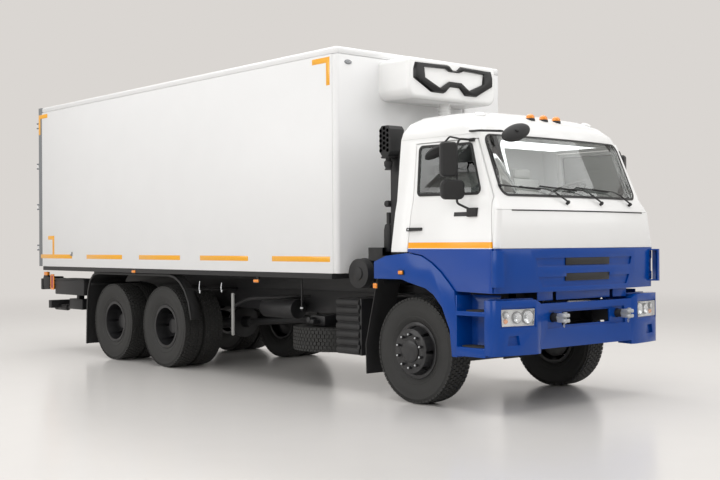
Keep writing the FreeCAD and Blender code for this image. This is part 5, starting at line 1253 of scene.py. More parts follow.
@dataclass
class DoorDetails:
    """Bare black plate, lock barrel and mirror glass on each door."""

    plate: tuple[Flat, Flat] = ((0.578, 1.868), (0.765, 1.908))
    lock: Flat = (-0.022, 1.750)
    glasses: tuple[tuple[float, float, float, float], ...] = (
        # nearest and farthest from the middle plane, lowest and highest
        (1.303, 1.424, 2.264, 2.554), (1.252, 1.417, 2.060, 2.182))
    behind: float = 0.57

    def build(self) -> None:
        """Dress both doors."""
        for side in Side:
            body, mirrors = "cab_door_" + side.word, "door_mirrors_" + side.word
            start, end = ((FRAME["axle_x"] + x, z) for x, z in self.plate)
            plate = Bench.patch("door_plate_" + side.word, "door_" + side.word, start, end,
                                side.at(0, 3, 0), side.way(), 0.004, 4)
            fit(plate, body, PIANO_BLACK)
            spot, normal = touch(mirrors, side.at(self.lock[0], 3, self.lock[1]), side.way())
            lock = Bench.lathe("lock_" + side.word, [(0, -0.002), (0.010, -0.002), (0.010, 0.002),
                                                     (0.0075, 0.0035), (0.0025, 0.0035), (0, 0.001)],
                               spot, normal, 24)
            fit(lock, body, BRIGHT)
            glasses = []
            for near, far, z0, z1 in self.glasses:
                y0, y1 = side.span(near, far)
                glasses.append(Bench.patch("glass", mirrors, (y0, z0), (y1, z1),
                                           side.at(self.behind, 0, 0), (1, 0, 0), 0.0012, 6))
            fit(Bench.join("mirror_glass_" + side.word, glasses), body, MIRROR_GLASS)


@dataclass
class StepTreads:
    """Grit-faced rubber pads on the steps beside the front wheels."""

    tops: Flat = (0.625, 0.965)
    span: tuple[Flat, Flat] = ((0.675, 1.015), (0.735, 1.000))
    outer: float = 1.268
    depth: float = 0.19
    height: float = 0.010
    ribs: int = 7
    rib_pitch: float = 0.022

    def build(self) -> None:
        """Lay a rounded, ribbed pad on every step."""
        for side in Side:
            parts = []
            for top, (start, end) in zip(self.tops, self.span):
                middle, half, deep = (start + end) / 2, (end - start) / 2, self.depth / 2
                edge = [side.at(middle + half * math.cos(a), self.outer - deep + deep
                                * math.copysign(abs(math.sin(a)) ** 0.6, math.sin(a)), 0)[:2]
                        for a in (math.tau * i / 28 for i in range(28))]
                parts.append(Bench.slab("pad", edge, Plane.XY, top - 0.002, top + self.height, 0.0015))
                for i in range(self.ribs):
                    y = self.outer - 0.03 - i * self.rib_pitch
                    reach = half * (0.78 + 0.14 * math.sin(math.pi * (i + 0.5) / self.ribs))
                    parts.append(Bench.bar("rib", side, (middle - reach, middle + reach),
                                           (y - 0.004, y + 0.004), (top, top + self.height + 0.003), 0.001))
            fit(Bench.join("step_pads_" + side.word, parts), "chassis", TREAD_RUBBER)


@dataclass
class Cabin:
    """Dash, steering wheel and two padded seats behind the glass."""

    seat_low: float = 0.30
    seat_high: float = 0.45
    seat_y: float = 0.59
    seat_half: float = 0.245
    back_x: float = -0.19
    back_thick: float = 0.13

    def pad(self, name: str, low: Point, high: Point, crown: float, face: int,
            channels: tuple[float, ...] = (-0.45, 0.45)) -> Piece:
        """A crowned cushion with sewn channels on one face.

        Args:
            name: Name of the pad.
            low: Lowest corner.
            high: Highest corner.
            crown: How far the middle stands proud of the edges.
            face: Axis that the crowned face looks along.
            channels: Places of the sewn channels across the pad, from -1 to 1.

        Returns:
            The new pad.
        """
        pad = Bench.block(name, low, high, 0.028)
        Bench.edit(pad, lambda: bpy.ops.mesh.subdivide(number_cuts=7))
        middle = [(a + b) / 2 for a, b in zip(low, high)]
        half = [(b - a) / 2 for a, b in zip(low, high)]
        first, second = (i for i in range(3) if i != face)
        for vertex in pad.data.vertices:
            share = [(c - m) / h for c, m, h in zip(vertex.co, middle, half)]
            swell = (1 - share[first] ** 2) * (1 - share[second] ** 2)
            dent = sum(math.exp(-((share[1] - c) / 0.07) ** 2) for c in channels)
            vertex.co[face] += (crown * swell - 0.012 * dent * swell ** 0.5) * math.copysign(
                min(1.0, abs(share[face]) * 1.5), share[face]) if swell > 0 else 0
        Bench.apply(pad, "SUBSURF", levels=1, render_levels=1)
        Bench.pick(pad)
        bpy.ops.object.shade_smooth()
        return pad

    def seat(self, side: Side, floor: float) -> None:
        """Base, cushion, back and head rest of one seat on the cab floor.

        Args:
            side: Side of the seat.
            floor: Height of the cab floor.
        """
        axle, half, back = FRAME["axle_x"], self.seat_half, FRAME["axle_x"] + self.back_x
        y, low, high = side.value * self.seat_y, floor + self.seat_low, floor + self.seat_high
        base = Bench.plate("seat_base_" + side.word, Side.LEFT, [
            (-0.16, floor), (0.26, floor), (0.22, floor + 0.06), (0.20, low - 0.04), (-0.12, low - 0.04),
            (-0.14, floor + 0.06)], (y - 0.17, y + 0.17), 0.012)
        fit(base, "cab", POLYPROPYLENE, "cab_interior")
        pads = (self.pad("seat_cushion_" + side.word, (axle - 0.14, y - half, low),
                         (axle + 0.33, y + half, high), 0.02, 2),
                self.pad("seat_back_" + side.word, (back, y - half, high - 0.04),
                         (back + self.back_thick, y + half, 2.32), 0.016, 0),
                self.pad("head_rest_" + side.word, (back, y - 0.14, 2.325),
                         (back + 0.09, y + 0.14, 2.432), 0.008, 0, ()))
        for pad in pads:
            fit(pad, "cab", SEAT_CLOTH, "cab_interior")

    def build(self) -> None:
        """Replace the plain cabin with its dash and padded seats."""
        axle = FRAME["axle_x"]
        dash = Bench.softened("cab_interior", "dash_and_wheel", 0.006)
        Bench.without(dash, lambda p, n: p.x < axle + 0.345 and 0.335 < abs(p.y) < 0.845
                      and (p.x < axle + 0.290 or p.z < 2.0))
        fit(dash, "cab", INTERIOR, "cab_interior")
        for side in Side:
            self.seat(side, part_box("cab_interior")[0][2])


# ------------------------------------------------------------------ lamps
@dataclass
class Lamps:
    """Headlamps with reflectors behind clear lenses, and rear lamp clusters."""

    lens: float = 0.004
    depth: float = 0.034
    bowls: tuple[Point, ...] = (
        # across, up, radius of each reflector
        (0.890, 0.915, 0.062), (1.020, 0.913, 0.050), (1.150, 0.940, 0.030))
    bulb: Point = (1.150, 0.880, 0.024)
    rear_y: Flat = (0.850, 1.250)
    rear_z: Flat = (0.930, 1.100)
    rear_split: tuple[tuple[float, float, Finish], ...] = (
        # inner and outer share of the cluster and the lens there
        (0.03, 0.24, CLEAR), (0.26, 0.60, RED), (0.62, 0.97, AMBER))

    def inside(self, side: Side, y: float, z: float) -> tuple[Vector, Vector]:
        """Point on the headlamp's tray and the way that it looks."""
        spot, normal = touch("lamps", side.at(3, y, z), (-1, 0, 0))
        return spot - normal * self.depth, normal

    def shell(self, side: Side) -> None:
        """Lens, rim and tray of one headlamp, all made from its solid.

        Args:
            side: Side of the lamp.
        """
        axle = FRAME["axle_x"]
        lens = Bench.softened("lamps", "headlamp_lens_" + side.word, 0)
        Bench.without(lens, lambda p, n: p.x < axle or p.y * side.value < 0)
        rim = Bench.copy(lens, "headlamp_rim_" + side.word)
        Bench.without(lens, lambda p, n: n.x < 0.6)
        tray = Bench.copy(lens, "headlamp_tray_" + side.word, Matrix.Translation((-self.depth, 0, 0)))
        Bench.without(rim, lambda p, n: abs(n.x) > 0.6)
        # the tray's near-white colour is partly a painted reflection of the lamp's bright inside
        for piece, thickness, finish in ((lens, self.lens, CLEAR), (rim, 0.004, REFLECTOR),
                                         (tray, 0.003, LAMP_TRAY)):
            Bench.apply(piece, "SOLIDIFY", thickness=thickness, offset=-1)
            fit(piece, "chassis", finish, "lamps")

    def headlamp(self, side: Side) -> None:
        """Reflectors, rings and indicator bulb behind one lens.

        Args:
            side: Side of the lamp.
        """
        shiny, rings = [], []
        for y, z, radius in self.bowls:
            spot, normal = self.inside(side, y, z)
            bowl = [(radius, 0.0), (radius, 0.022), (radius * 0.96, 0.024)]
            bowl += [(radius * (0.9 - 0.12 * i), 0.022 - 0.0029 * i * (2 - i / 7)) for i in range(7)]
            cap, low, high = radius * 0.26, radius * 1.02, radius * 1.14
            shiny.append(Bench.lathe("bowl", bowl + [(0.0, 0.0015), (0.0, 0.0)], spot, normal, 40))
            shiny.append(Bench.lathe("cap", [(0, 0.004), (cap, 0.004), (cap, 0.016), (radius * 0.18, 0.021),
                                             (0, 0.023)], spot, normal, 28, 0.001))
            rings.append(Bench.lathe("ring", [(low, 0.002), (high, 0.002), (high, 0.018), (low, 0.026)],
                                     spot, normal, 40))
        fit(Bench.join("headlamp_reflectors_" + side.word, shiny), "chassis", REFLECTOR, "lamps")
        fit(Bench.join("headlamp_rings_" + side.word, rings), "chassis", PIANO_BLACK, "lamps")
        y, z, radius = self.bulb
        bulb = Bench.lathe("indicator_" + side.word, [(0, 0), (radius, 0), (radius, 0.006),
                                                      (radius * 0.8, 0.018), (0, 0.024)],
                           *self.inside(side, y, z), 28, 0.002)
        fit(bulb, "chassis", AMBER, "lamps")

    def cluster(self, side: Side) -> None:
        """Rear lamp: dark body with clear, red and amber lenses.

        Args:
            side: Side of the lamp.
        """
        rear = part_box("lamps")[0][0]
        (inner, outer), (z0, z1) = self.rear_y, self.rear_z
        y0, y1 = side.span(inner, outer)
        body = Bench.block("rear_lamp_body_" + side.word, (rear + 0.012, y0, z0), (rear + 0.070, y1, z1),
                           0.008)
        fit(body, "chassis", POLYPROPYLENE, "lamps")
        for i, (start, end, finish) in enumerate(self.rear_split):
            y0, y1 = side.span(inner + (outer - inner) * start, inner + (outer - inner) * end)
            lens = Bench.block("rear_lens_%d_%s" % (i, side.word), (rear, y0, z0 + 0.012),
                               (rear + 0.016, y1, z1 - 0.012), 0.005)
            fit(lens, "chassis", finish, "lamps")

    def build(self) -> None:
        """Build all lamps of the lamp node."""
        for side in Side:
            self.shell(side)
            self.headlamp(side)
            self.cluster(side)


@dataclass
class Markers:
    """Small side lamps and the clearance lamps of the box."""

    # ahead of the front axle, outward, up, length, height
    fender: tuple[float, ...] = (-0.100, 0.0, 1.319, 0.078, 0.050)
    flap: tuple[float, ...] = (-0.525, 1.235, 1.175, 0.075, 0.066)
    rails: tuple[tuple[float, ...], ...] = ((-2.572, 1.274, 1.182, 0.110, 0.048),
                                            (-5.407, 1.274, 1.250, 0.110, 0.048))
    clearance: Flat = (1.137, 3.575)
    clearance_discs: tuple[tuple[str, float, float, Finish], ...] = (
        ("wells", 0.026, 0.006, PORTAL_STEEL), ("glasses", 0.021, 0.014, CLEAR))

    def lamp(self, side: Side, place: Sequence[float]) -> tuple[Piece, Piece]:
        """Dark foot and amber lens, standing outward from a place with their size.

        Args:
            side: Side of the lamp.
            place: Ahead of the front axle, outward, up, length and height.

        Returns:
            The foot and the lens.
        """
        x, y, z, wide, tall = place
        wide, tall = wide / 2, tall / 2
        foot = Bench.bar("foot", side, (x - wide, x + wide), (y - 0.004, y + 0.010),
                         (z - tall, z + tall), 0.004)
        wide, tall = wide - 0.008, tall - 0.007
        lens = Bench.bar("lens", side, (x - wide, x + wide), (y + 0.008, y + 0.024),
                         (z - tall, z + tall), 0.006)
        return foot, lens

    def build(self) -> None:
        """Fit the lamps on both sides."""
        for side in Side:
            x, _, z = self.fender[:3]
            spot, _ = touch("front_fenders", side.at(x, 3, z), side.way())
            fender = (x, abs(spot.y), *self.fender[2:])
            feet, lenses = map(list, zip(*(self.lamp(side, place) for place in
                                           (fender, self.flap, *self.rails))))
            feet += [Bench.bar("strap", side, (x - 0.02, x + 0.02), (1.25, 1.272), (z, z + 0.06), 0.002)
                     for x, _, z, _, _ in self.rails]
            fit(Bench.join("side_lamp_feet_" + side.word, feet), "chassis", POLYPROPYLENE)
            fit(Bench.join("side_lamp_lenses_" + side.word, lenses), "chassis", AMBER)
        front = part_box("box_front_wall")[1][0]
        y, z = self.clearance
        for name, radius, height, finish in self.clearance_discs:
            discs = []
            for side in Side:
                disc = Bench.lathe(name, [(0, 0), (radius, 0), (radius, height * 0.6),
                                          (radius * 0.8, height), (0, height * 1.1)],
                                   axis=(1, 0, 0), steps=32, bevel=0.001)
                disc.data.transform(Matrix.Translation((front, side.value * y, z))
                                    @ Matrix.Diagonal((1, 2.0, 1, 1)))
                discs.append(disc)
            fit(Bench.join("clearance_" + name, discs), "chassis", finish)


# ------------------------------------------------------------------ chassis fittings
@dataclass
class TowPins:
    """Forked tow eyes in the bumper, each with a cross pin and a ring."""

    across: float = 0.511
    height: float = 0.892
    root: float = 1.262
    jaw_root: float = 1.290
    neck_end: float = 1.302
    nose: float = 1.360
    half: float = 0.045

    def build(self) -> None:
        """Build both tow eyes."""
        parts = []
        for side in Side:
            def spot(x: float, z: float) -> Point:
                """Place on this eye's middle plane, z counted from its axis."""
                return side.at(x, self.across, self.height + z)

            parts.append(Bench.rod("neck", spot(self.root, 0), spot(self.neck_end, 0), 0.033, 32, 0.006))
            (x, y, z), root = spot(self.nose, 0), FRAME["axle_x"] + self.jaw_root
            arc = [(x + self.half * math.cos(a), y + self.half * math.sin(a))
                   for a in (math.pi / 10 * i - math.pi / 2 for i in range(11))]
            outline = [(root, y + self.half), (root, y - self.half)] + arc
            parts += [Bench.slab("jaw", outline, Plane.XY, z + low, z + low + 0.034, 0.008)
                      for low in (-0.042, 0.008)]
            parts.append(Bench.rod("cross_pin", spot(self.nose, -0.052), spot(self.nose, 0.052), 0.012, 24,
                                   0.003))
            parts.append(Bench.rod("pin_head", spot(self.nose, 0.040), spot(self.nose, 0.054), 0.020, 24,
                                   0.004))
            ring = [(0.020 + 0.0028 * math.cos(a), 0.0028 * math.sin(a))
                    for a in (math.tau * i / 8 for i in range(8))]
            parts.append(Bench.lathe("ring", ring, (x - 0.006, y - 0.01, z - 0.070), (0.6, 0.8, 0), 32))
        fit(Bench.join("tow_eyes", parts), "chassis", CAST_ZINC)


@dataclass
class IntakeMesh:
    """Intake stack with rows of six-sided cells on its head."""

    columns: tuple[tuple[float, float, int], ...] = (
        # place along, top cell, number of cells
        (-0.541, 2.786, 5), (-0.489, 2.811, 5), (-0.437, 2.786, 5))
    pitch: float = 0.0515
    cell: float = 0.0215
    rib: float = 0.0035
    depth: float = 0.006
    stack: Flat = (-0.492, 1.085)
    duct: tuple[Flat, ...] = ((-0.545, 0.880), (-0.560, 0.990), (-0.545, 1.006), (-0.415, 1.006),
                              (-0.400, 0.990), (-0.400, 0.880))
    # radius and height of the dust valve and of the canister
    valve: tuple[Flat, ...] = ((0, 0.02), (0.030, 0.02), (0.030, -0.030), (0.046, -0.045),
                               (0.044, -0.085), (0.031, -0.110), (0.042, -0.132), (0, -0.132))
    canister: tuple[Flat, ...] = ((0, 0), (0.040, 0), (0.052, 0.03), (0.052, 0.24), (0.040, 0.29),
                                  (0.024, 0.30), (0.024, 0.42), (0, 0.42))

    def dress(self) -> None:
        """Dress the stack with a slimmer duct further inboard, a dust valve and a canister."""
        at, (along, out) = Side.RIGHT.at, self.stack
        x, y, _ = at(along, out, 0)
        piece = Bench.softened("air_intake", "intake_dressed", 0.01)
        Bench.without(piece, lambda p, n: 1.47 < p.z < 2.508 and p.y < -0.99 and abs(p.x - x) < 0.12)
        parts = [piece,
                 Bench.slab("duct", [at(a, b, 0)[:2] for a, b in self.duct], Plane.XY, 1.300, 2.600, 0.006),
                 Bench.block("cover", (x - 0.06, y - 0.05, 2.500), (x + 0.06, y + 0.06, 2.520), 0.004),
                 Bench.lathe("valve", self.valve, (x, y, 2.510), steps=28, bevel=0.002),
                 Bench.lathe("canister", self.canister, at(-0.600, 0.985, 1.520), steps=32, bevel=0.002),
                 Bench.rod("clamp", at(-0.580, 1.040, 2.030), at(-0.580, 0.930, 2.030), 0.034, 28, 0.006)]
        fit(Bench.join("intake_dressed", parts), "chassis", POLYPROPYLENE, "air_intake")

    def build(self) -> None:
        """Set the cells on the outer face of the head, as black discs of painted shade inside raised ribs.
        """
        cell_shades, ribs = [], []
        ring = [(self.cell, 0.0), (self.cell + self.rib, 0.0),
                (self.cell + self.rib * 0.7, self.depth), (self.cell, self.depth)]
        for x, top, count in self.columns:
            for i in range(count):
                spot, normal = touch("air_intake", Side.RIGHT.at(x, 3, top - self.pitch * i), (0, 1, 0))
                if abs(normal.y) < 0.7:
                    continue
                ribs.append(Bench.lathe("rib", ring, spot, (0, -1, 0), 6))
                # each cell is a thin black disc on the surface: painted shade in place of an open hole
                cell_shades.append(Bench.lathe("hole", [(0, 0), (self.cell, 0), (self.cell, 0.002), (0, 0.002)],
                                         spot, (0, -1, 0), 6))
        fit(Bench.join("intake_ribs", ribs), "chassis", POLYPROPYLENE)
        fit(Bench.join("intake_cells", cell_shades), "chassis", PAINTED_CELL_SHADE)
        self.dress()


@dataclass
class WheelNuts:
    """Bright stud ends in the front wheel nuts."""

    circle: float = 0.167
    count: int = 10
    radius: float = 0.0095
    height: float = 0.010

    def build(self) -> None:
        """Set a stud end on every nut of the front wheels."""
        r, h = self.radius, self.height
        for side in Side:
            node = "front_rim_" + side.word
            x, _, z = middle_of(node)
            studs = []
            for angle in (math.radians(90 + 360 / self.count * i) for i in range(self.count)):
                start = (x + self.circle * math.cos(angle), side.value * 3,
                         z + self.circle * math.sin(angle))
                studs.append(Bench.lathe("stud", [(0, -0.002), (r, -0.002), (r, h * 0.7), (r * 0.75, h),
                                                  (0, h)],
                                         touch(node, start, side.way())[0], (0, side.value, 0), 16))
            fit(Bench.join("wheel_studs_" + side.word, studs), "front_wheel_" + side.word, BRIGHT)


@dataclass
class Underbody:
    """Small fittings below the box: side bars with their stays, and the spare wheel's hanger."""

    bar_x: float = -3.170
    bar_z: Flat = (0.507, 1.020)
    bar_y: float = 1.205
    hanger: Flat = (-1.962, 1.09)

    def build(self) -> None:
        """Build the fittings on both sides."""
        x, y = self.bar_x, self.bar_y
        for side in Side:
            bar = Bench.bar("side_bar_" + side.word, side, (x - 0.024, x + 0.024), (y - 0.012, y + 0.012),
                            self.bar_z, 0.010)
            fit(bar, "chassis", PALE_POLYMER)
            stay = Bench.tube("bar_stay_" + side.word, [
                side.at(x, y - 0.01, 0.86), side.at(x + 0.06, 1.02, 0.95), side.at(x + 0.40, 0.62, 0.97),
                side.at(x + 0.52, 0.425, 0.97)], 0.020, 0.10, 5)
            fit(stay, "chassis", CHASSIS_PAINT)
        at, (x, y) = Side.RIGHT.at, self.hanger
        rod = Bench.tube("spare_hanger_right", [at(x, y, 1.215), at(x, y, 0.862),
                                                at(x - 0.03, y - 0.03, 0.845)], 0.009, 0.02, 4)
        fit(rod, "chassis", CHASSIS_PAINT)
        nut = Bench.lathe("hanger_nut", [(0.009, 0), (0.019, 0), (0.019, 0.018), (0.009, 0.018)],
                          at(x, y, 0.872), steps=6)
        fit(nut, "chassis", BRIGHT)


@dataclass
class BatteryBox:
    """Battery box with a lid of seven rounded bands."""

    bands: int = 7
    swell: float = 0.026
    # share of a band's height, share of its swell
    band: tuple[Flat, ...] = ((0.04, 0.0), (0.16, 0.62), (0.34, 0.93), (0.5, 1.0), (0.66, 0.93),
                              (0.84, 0.62), (0.96, 0.0))

    def build(self) -> None:
        """Build the banded cover, its frame and catches."""
        (x0, y0, z0), (x1, y1, z1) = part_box("battery_box")
        pitch = (z1 - z0) / self.bands
        outline = [(y0 + self.swell * (1 - swell), z0 + pitch * i + pitch * share)
                   for i in range(self.bands) for share, swell in self.band]
        cover = Bench.slab("battery_cover", outline + [(y1, z1), (y1, z0)], Plane.YZ, x0, x1 - 0.035, 0.0015)
        fit(cover, "chassis", POLYPROPYLENE, "battery_box")
        frame = [Bench.block("end", (x1 - 0.034, y0 + 0.016, z0), (x1, y1, z1), 0.006)]
        frame += [Bench.block("catch", (x1 - 0.045, y0 - 0.004, z - 0.022),
                              (x1 - 0.012, y0 + 0.020, z + 0.022), 0.004)
                  for z in (z0 + 0.09, (z0 + z1) / 2, z1 - 0.09)]
        fit(Bench.join("battery_frame", frame), "chassis", CHASSIS_PAINT, "battery_box")


@dataclass
class RearMudguards:
    """Guards arched over the rear wheels, with a lip and a narrow front leg."""

    over: tuple[Flat, ...] = ((-6.858, 0.180), (-6.838, 0.760), (-6.810, 0.960), (-6.745, 1.110),
                              (-6.640, 1.196), (-6.500, 1.226), (-4.560, 1.226))
    leg: tuple[Flat, ...] = ((-4.560, 1.226), (-4.420, 1.200), (-4.300, 1.140), (-4.180, 1.030),
                             (-4.090, 0.880), (-4.030, 0.660))
    inner: float = 0.660
    outer: float = 1.240
    leg_width: float = 0.120
    lip: float = 0.012
    sheet: float = 0.010
    lip_depth: float = 0.030
    stays: tuple[Flat, ...] = ((-6.72, 1.05), (-4.20, 1.03))

    def band(self, line: Sequence[Flat], y: Flat, thickness: float, side: Side) -> Piece:
        """A sheet that follows a line of (along, up) and spans a width.

        Args:
            line: Points ahead of the front axle and up.
            y: Span outward.
            thickness: Thickness, on the wheel's side.
            side: Side that it is on.

        Returns:
            The sheet.
        """
        inside = []
        for i, (x, z) in enumerate(line):
            before, after = line[max(i - 1, 0)], line[min(i + 1, len(line) - 1)]
            dx, dz = after[0] - before[0], after[1] - before[1]
            length = math.hypot(dx, dz)
            inside.append((x + dz / length * thickness, z - dx / length * thickness))
        return Bench.plate("sheet", side, list(line) + inside[::-1], y, 0.0015)

    def build(self) -> None:
        """Build both guards with lips and stays."""
        edge = (self.outer - self.lip, self.outer + self.lip)
        for side in Side:
            parts = [self.band(line, y, thickness, side) for line, y, thickness in (
                (self.over, (self.inner, self.outer), self.sheet),
                (self.leg, (self.outer - self.leg_width, self.outer), self.sheet),
                (self.over, edge, self.lip_depth), (self.leg, edge, self.lip_depth))]
            parts += [Bench.rod("stay", side.at(x, 0.425, z), side.at(x, self.outer - 0.01, z), 0.018)
                      for x, z in self.stays]
            fit(Bench.join("mudguard_" + side.word, parts), "chassis", POLYPROPYLENE, "rear_mudguards")


@dataclass
class FrontMirror:
    """Kerb mirror above the windscreen, a domed oval on its arm."""

    middle: Point = (1.105, -0.915, 2.650)
    facing: Point = (0.765, -0.4415, 0.469)
    level: Point = (0.5, 0.866, 0.0)
    old_half: Flat = (0.206, 0.101)
    half: Flat = (0.158, 0.086)
    tilt: float = math.radians(25)
    # share of the half width, height over the rim
    dome: tuple[Flat, ...] = ((0, -0.004), (0.93, -0.004), (0.99, 0.0), (1.0, 0.006), (0.99, 0.014),
                              (0.94, 0.026), (0.82, 0.037), (0.6, 0.045), (0.3, 0.049), (0, 0.050))
    face: tuple[Flat, ...] = ((0, -0.008), (0.7, -0.007), (0.88, -0.004), (0, -0.003))

    def build(self) -> None:
        """Take the flat oval off the trim and set a domed mirror in its place."""
        centre = Vector(Side.LEFT.at(*self.middle))
        facing, level = Vector(self.facing).normalized(), Vector(self.level).normalized()
        across = facing.cross(level)

        def in_oval(p: Vector, _: Vector) -> bool:
            """Whether a point belongs to the flat oval.

            Args:
                p: Middle of a face.
                _: Its normal, unused.

            Returns:
                Whether it does.
            """
            d = p - centre
            a, b = d.dot(level) / self.old_half[0], d.dot(across) / self.old_half[1]
            return -0.004 < d.dot(facing) < 0.034 and a * a + b * b < 1.04

        trim = Bench.softened("cab_trim", "trim_dressed", 0.002)
        Bench.without(trim, in_oval)
        fit(trim, "cab", SEAL_RUBBER, "cab_trim")
        major = level * math.cos(self.tilt) + across * math.sin(self.tilt)
        place = Matrix((major, facing.cross(major), facing)).transposed().to_4x4()
        place.translation = centre
        shell, glass = (Bench.lathe(name, [(r * self.half[1], h) for r, h in shape]) for name, shape in (
            ("kerb_mirror_shell", self.dome), ("kerb_mirror_glass", self.face)))
        for piece in (shell, glass):
            piece.data.transform(place @ Matrix.Diagonal((self.half[0] / self.half[1], 1, 1, 1)))
        clamp = Bench.rod("clamp", centre + facing * 0.03, centre + facing * 0.062, 0.018, 24, 0.005)
        fit(Bench.join("kerb_mirror_shell", [shell, clamp]), "cab", POLYPROPYLENE, "cab_trim")
        fit(glass, "cab", MIRROR_GLASS, "cab_trim")


@dataclass
class TailFittings:
    """Lamp housings, framed side reflectors, buffers and side lockers at the rear."""

    dark: tuple[Bar, ...] = (
        ("housing", (-8.278, -8.060), (1.000, 1.243), (0.940, 1.132), 0.012),
        ("lamp_foot", (-8.262, -8.128), (1.190, 1.240), (1.130, 1.150), 0.004),
        ("reflector_stay", (-8.070, -7.880), (1.215, 1.232), (1.020, 1.060), 0.003),
        ("locker", (-7.890, -6.960), (0.900, 1.232), (0.870, 1.085), 0.012),
        ("locker_lid", (-7.900, -6.950), (0.890, 1.240), (1.085, 1.108), 0.006),
        ("buffer_bracket", (-7.762, -7.342), (0.930, 1.060), (0.640, 0.800), 0.010),
        ("bracket_hanger", (-7.560, -7.480), (0.950, 1.040), (0.790, 0.880), 0.006))
    amber: tuple[Bar, ...] = (
        ("top_lamp", (-8.256, -8.134), (1.196, 1.244), (1.148, 1.206), 0.010),
        ("frame_top", (-8.024, -7.908), (1.232, 1.246), (1.148, 1.171), 0.003),
        ("frame_low", (-8.024, -7.908), (1.232, 1.246), (0.935, 0.958), 0.003),
        ("frame_back", (-8.024, -8.002), (1.232, 1.246), (0.950, 1.156), 0.003),
        ("frame_fore", (-7.930, -7.908), (1.232, 1.246), (0.950, 1.156), 0.003))
    core: tuple[Flat, Flat, Flat, float] = ((-8.004, -7.928), (1.230, 1.242), (0.956, 1.150), 0.002)
    # radius, distance along
    buffer: tuple[Flat, ...] = ((0, 0), (0.036, 0), (0.045, 0.010), (0.045, 0.10), (0.040, 0.115),
                                (0.040, 0.125), (0.045, 0.14), (0.045, 0.38), (0.038, 0.40), (0, 0.40))
    # ahead of the front axle, top, drop
    hooks: tuple[Point, ...] = ((-3.884, 1.150, 0.16), (-3.395, 1.140, 0.12))

    def build(self) -> None:
        """Build the rear fittings on both sides."""
        for side in Side:
            at, word = side.at, side.word
            dark = [Bench.bar(name, side, *rest) for name, *rest in self.dark]
            dark.append(Bench.rod("buffer_pin", at(-7.93, 1, 0.650), at(-7.75, 1, 0.660), 0.022))
            fit(Bench.join("tail_housings_" + word, dark), "chassis", CHASSIS_PAINT)
            buffer = Bench.lathe("rubber_buffer_" + word, self.buffer, at(-8.31, 1, 0.650), (1, 0, 0), 32)
            fit(buffer, "chassis", SEAL_RUBBER)
            amber = [Bench.bar(name, side, *rest) for name, *rest in self.amber]
            fit(Bench.join("tail_amber_" + word, amber), "chassis", AMBER)
            fit(Bench.bar("side_reflector_" + word, side, *self.core), "chassis", RED)
            hooks = [Bench.tube("hook", [at(x, 1.215, z), at(x, 1.225, z - drop * 0.55),
                                         at(x + 0.022, 1.230, z - drop),
                                         at(x + 0.034, 1.230, z - drop * 0.72)], 0.0065, 0.02, 3)
                     for x, z, drop in self.hooks]
            fit(Bench.join("rope_hooks_" + word, hooks), "chassis", BRIGHT)


@dataclass
class FrontSeams:
    """Trim strip under the windscreen and the apron between cab and bumper."""

    strip_z: float = 1.9185
    strip_half: float = 1.03
    steps: int = 14
    apron: tuple[Flat, ...] = ((1.00, 0.74), (1.158, 0.74), (1.140, 0.90), (1.108, 1.04), (1.070, 1.17),
                               (1.00, 1.20))
    # the tilting cab passes just over the upper face
    apron_z: Flat = (1.066, 1.085)

    def build(self) -> None:
        """Lay the strip and fill the seam above each bumper corner."""
        line = [touch("front_panel", Side.LEFT.at(3, self.strip_half * (2 * i / self.steps - 1),
                                                  self.strip_z), (-1, 0, 0))[0]
                for i in range(self.steps + 1)]
        fit(Bench.tube("screen_strip", line, 0.006, 0.02, 3), "cab", SEAL_RUBBER)
        for side in Side:
            apron = Bench.slab("apron_" + side.word, [side.at(x, y, 0)[:2] for x, y in self.apron], Plane.XY,
                               *self.apron_z, 0.003)
            fit(apron, "chassis", BLUE_ENAMEL)


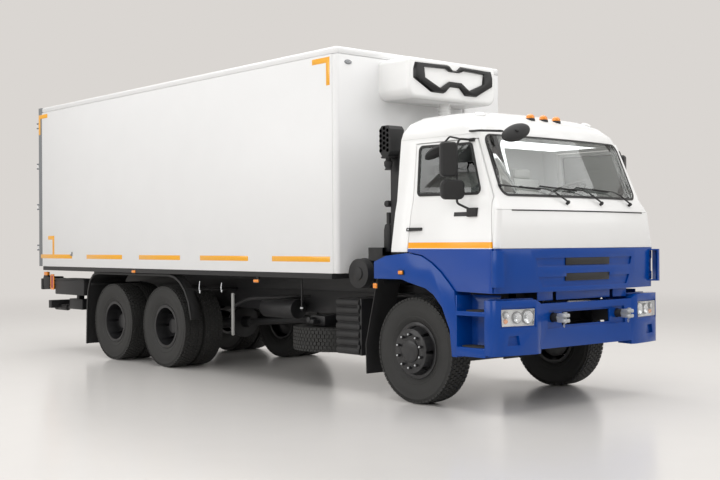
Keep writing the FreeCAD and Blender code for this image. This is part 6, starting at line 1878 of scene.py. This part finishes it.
# ------------------------------------------------------------------ studio
@dataclass
class Studio:
    """Floor, backdrop, lamps and camera."""

    eye: Point = (8.153, -9.020, 1.612)
    yaw: float = 138.922
    pitch: float = 0.185
    roll: float = -0.331
    lens: float = 56.22
    floor_size: float = 160
    backdrop: str = "DAD6D2"
    room: str = "F2F1EF"
    room_power: float = 0.66
    # place, aim, size, power; those of the second list are counted from the front axle
    lamps: tuple[tuple[str, Point, Point, Flat, float], ...] = (
        ("ceiling", (0, 0, 9), (0, 0, 0), (16, 10), 950),
        ("key", (9, -11, 6), (0, 0, 1.4), (7, 5), 330),
        ("side", (-4, -13, 5), (-2, 0, 1.6), (10, 4), 330))
    front: tuple[Point, Flat, float] = ((12.5, 8, 7.5), (10, 7), 330)
    fill: tuple[float, float, Flat, float] = (0.45, 2.62, (0.6, 1.6), 7)

    def camera(self) -> None:
        """Place the camera at its distance from the front axle."""
        yaw, pitch, roll = (math.radians(v) for v in (self.yaw, self.pitch, self.roll))
        look = Vector((math.cos(pitch) * math.cos(yaw), math.cos(pitch) * math.sin(yaw),
                       math.sin(pitch)))
        right = look.cross(Vector((0, 0, 1))).normalized()
        up = right.cross(look)
        across = math.cos(roll) * right + math.sin(roll) * up
        above = -math.sin(roll) * right + math.cos(roll) * up
        data = bpy.data.cameras.new("studio_camera")
        data.lens, data.sensor_width, data.clip_end = self.lens, 36, 500
        camera = bpy.data.objects.new("studio_camera", data)
        turn = Matrix((across, above, -look)).transposed().to_4x4()
        camera.matrix_world = Matrix.Translation(Side.LEFT.at(*self.eye)) @ turn
        bpy.context.collection.objects.link(camera)
        bpy.context.scene.camera = camera

    def stage(self) -> None:
        """Lay a floor that fades into the backdrop far behind the truck."""
        Bench.clear()
        bpy.ops.mesh.primitive_plane_add(size=self.floor_size)
        floor = Bench.settle(bpy.context.object, "studio_floor")
        floor.data.materials.append(FLOOR.material())

    def lamp(self, name: str, place: Point, aim: Point, size: Flat, power: float) -> None:
        """One soft rectangular lamp at place, aimed at a point.

        Args:
            name: Name of the lamp.
            place: Where it hangs.
            aim: Point that it faces.
            size: Its width and height.
            power: Its power in watts.
        """
        data = bpy.data.lights.new(name, "AREA")
        data.shape = "RECTANGLE"
        data.size, data.size_y = size
        data.energy = power
        lamp = bpy.data.objects.new(name, data)
        lamp.location = place
        lamp.rotation_euler = (Vector(aim) - Vector(place)).to_track_quat("-Z", "Y").to_euler()
        bpy.context.collection.objects.link(lamp)

    def light(self) -> None:
        """A wide ceiling light, a key beside the camera, a side and a front panel, and a cab light."""
        at = Side.LEFT.at
        for lamp in self.lamps:
            self.lamp(*lamp)
        place, size, power = self.front
        self.lamp("front_panel_light", place, at(0, 0, 1.8), size, power)
        x, z, size, power = self.fill
        self.lamp("cab_fill", at(x, 0, z), at(x, 0, 0), size, power)

    def world(self) -> None:
        """A pale room that shows the camera, glossy surfaces and glass a plain backdrop."""
        world = bpy.data.worlds.new("studio_room")
        bpy.context.scene.world = world
        graph = Graph(world)
        path = graph.add("LightPath").outputs
        seen = graph.math("MAXIMUM", path["Is Camera Ray"], path["Is Glossy Ray"])
        seen = graph.math("MAXIMUM", seen, path["Is Transmission Ray"])
        room, wall = (graph.add("Background", {0: linear(colour), 1: power}).outputs[0]
                      for colour, power in ((self.room, self.room_power), (self.backdrop, 1.0)))
        mix = graph.add("MixShader", None, {0: seen, 1: room, 2: wall})
        graph.add("OutputWorld", None, {0: mix.outputs[0]})
        bpy.context.scene.view_settings.view_transform = "Standard"

    def build(self) -> None:
        """Make the whole studio."""
        self.camera()
        self.stage()
        self.light()
        self.world()


def main() -> None:
    """Load the frame, build every sub-assembly in order and finish."""
    logging.basicConfig(level=logging.INFO, format="%(message)s")
    FRAME.update(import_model())
    low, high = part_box("front_tyre_left")
    FRAME["axle_x"] = (low[0] + high[0]) / 2
    for group in (Studio(), Wheels(), RoofLamps(), Cabin(), Lamps(), BatteryBox(), RearMudguards(),
                  FrontMirror(), IntakeMesh(), SafetyMarks(), Wipers(), DoorDetails(), StepTreads(),
                  Markers(), TowPins(), WheelNuts(), Underbody(), TailFittings(), FrontSeams(),
                  PlainNodes()):
        group.build()


if __name__ == "__main__":
    main()
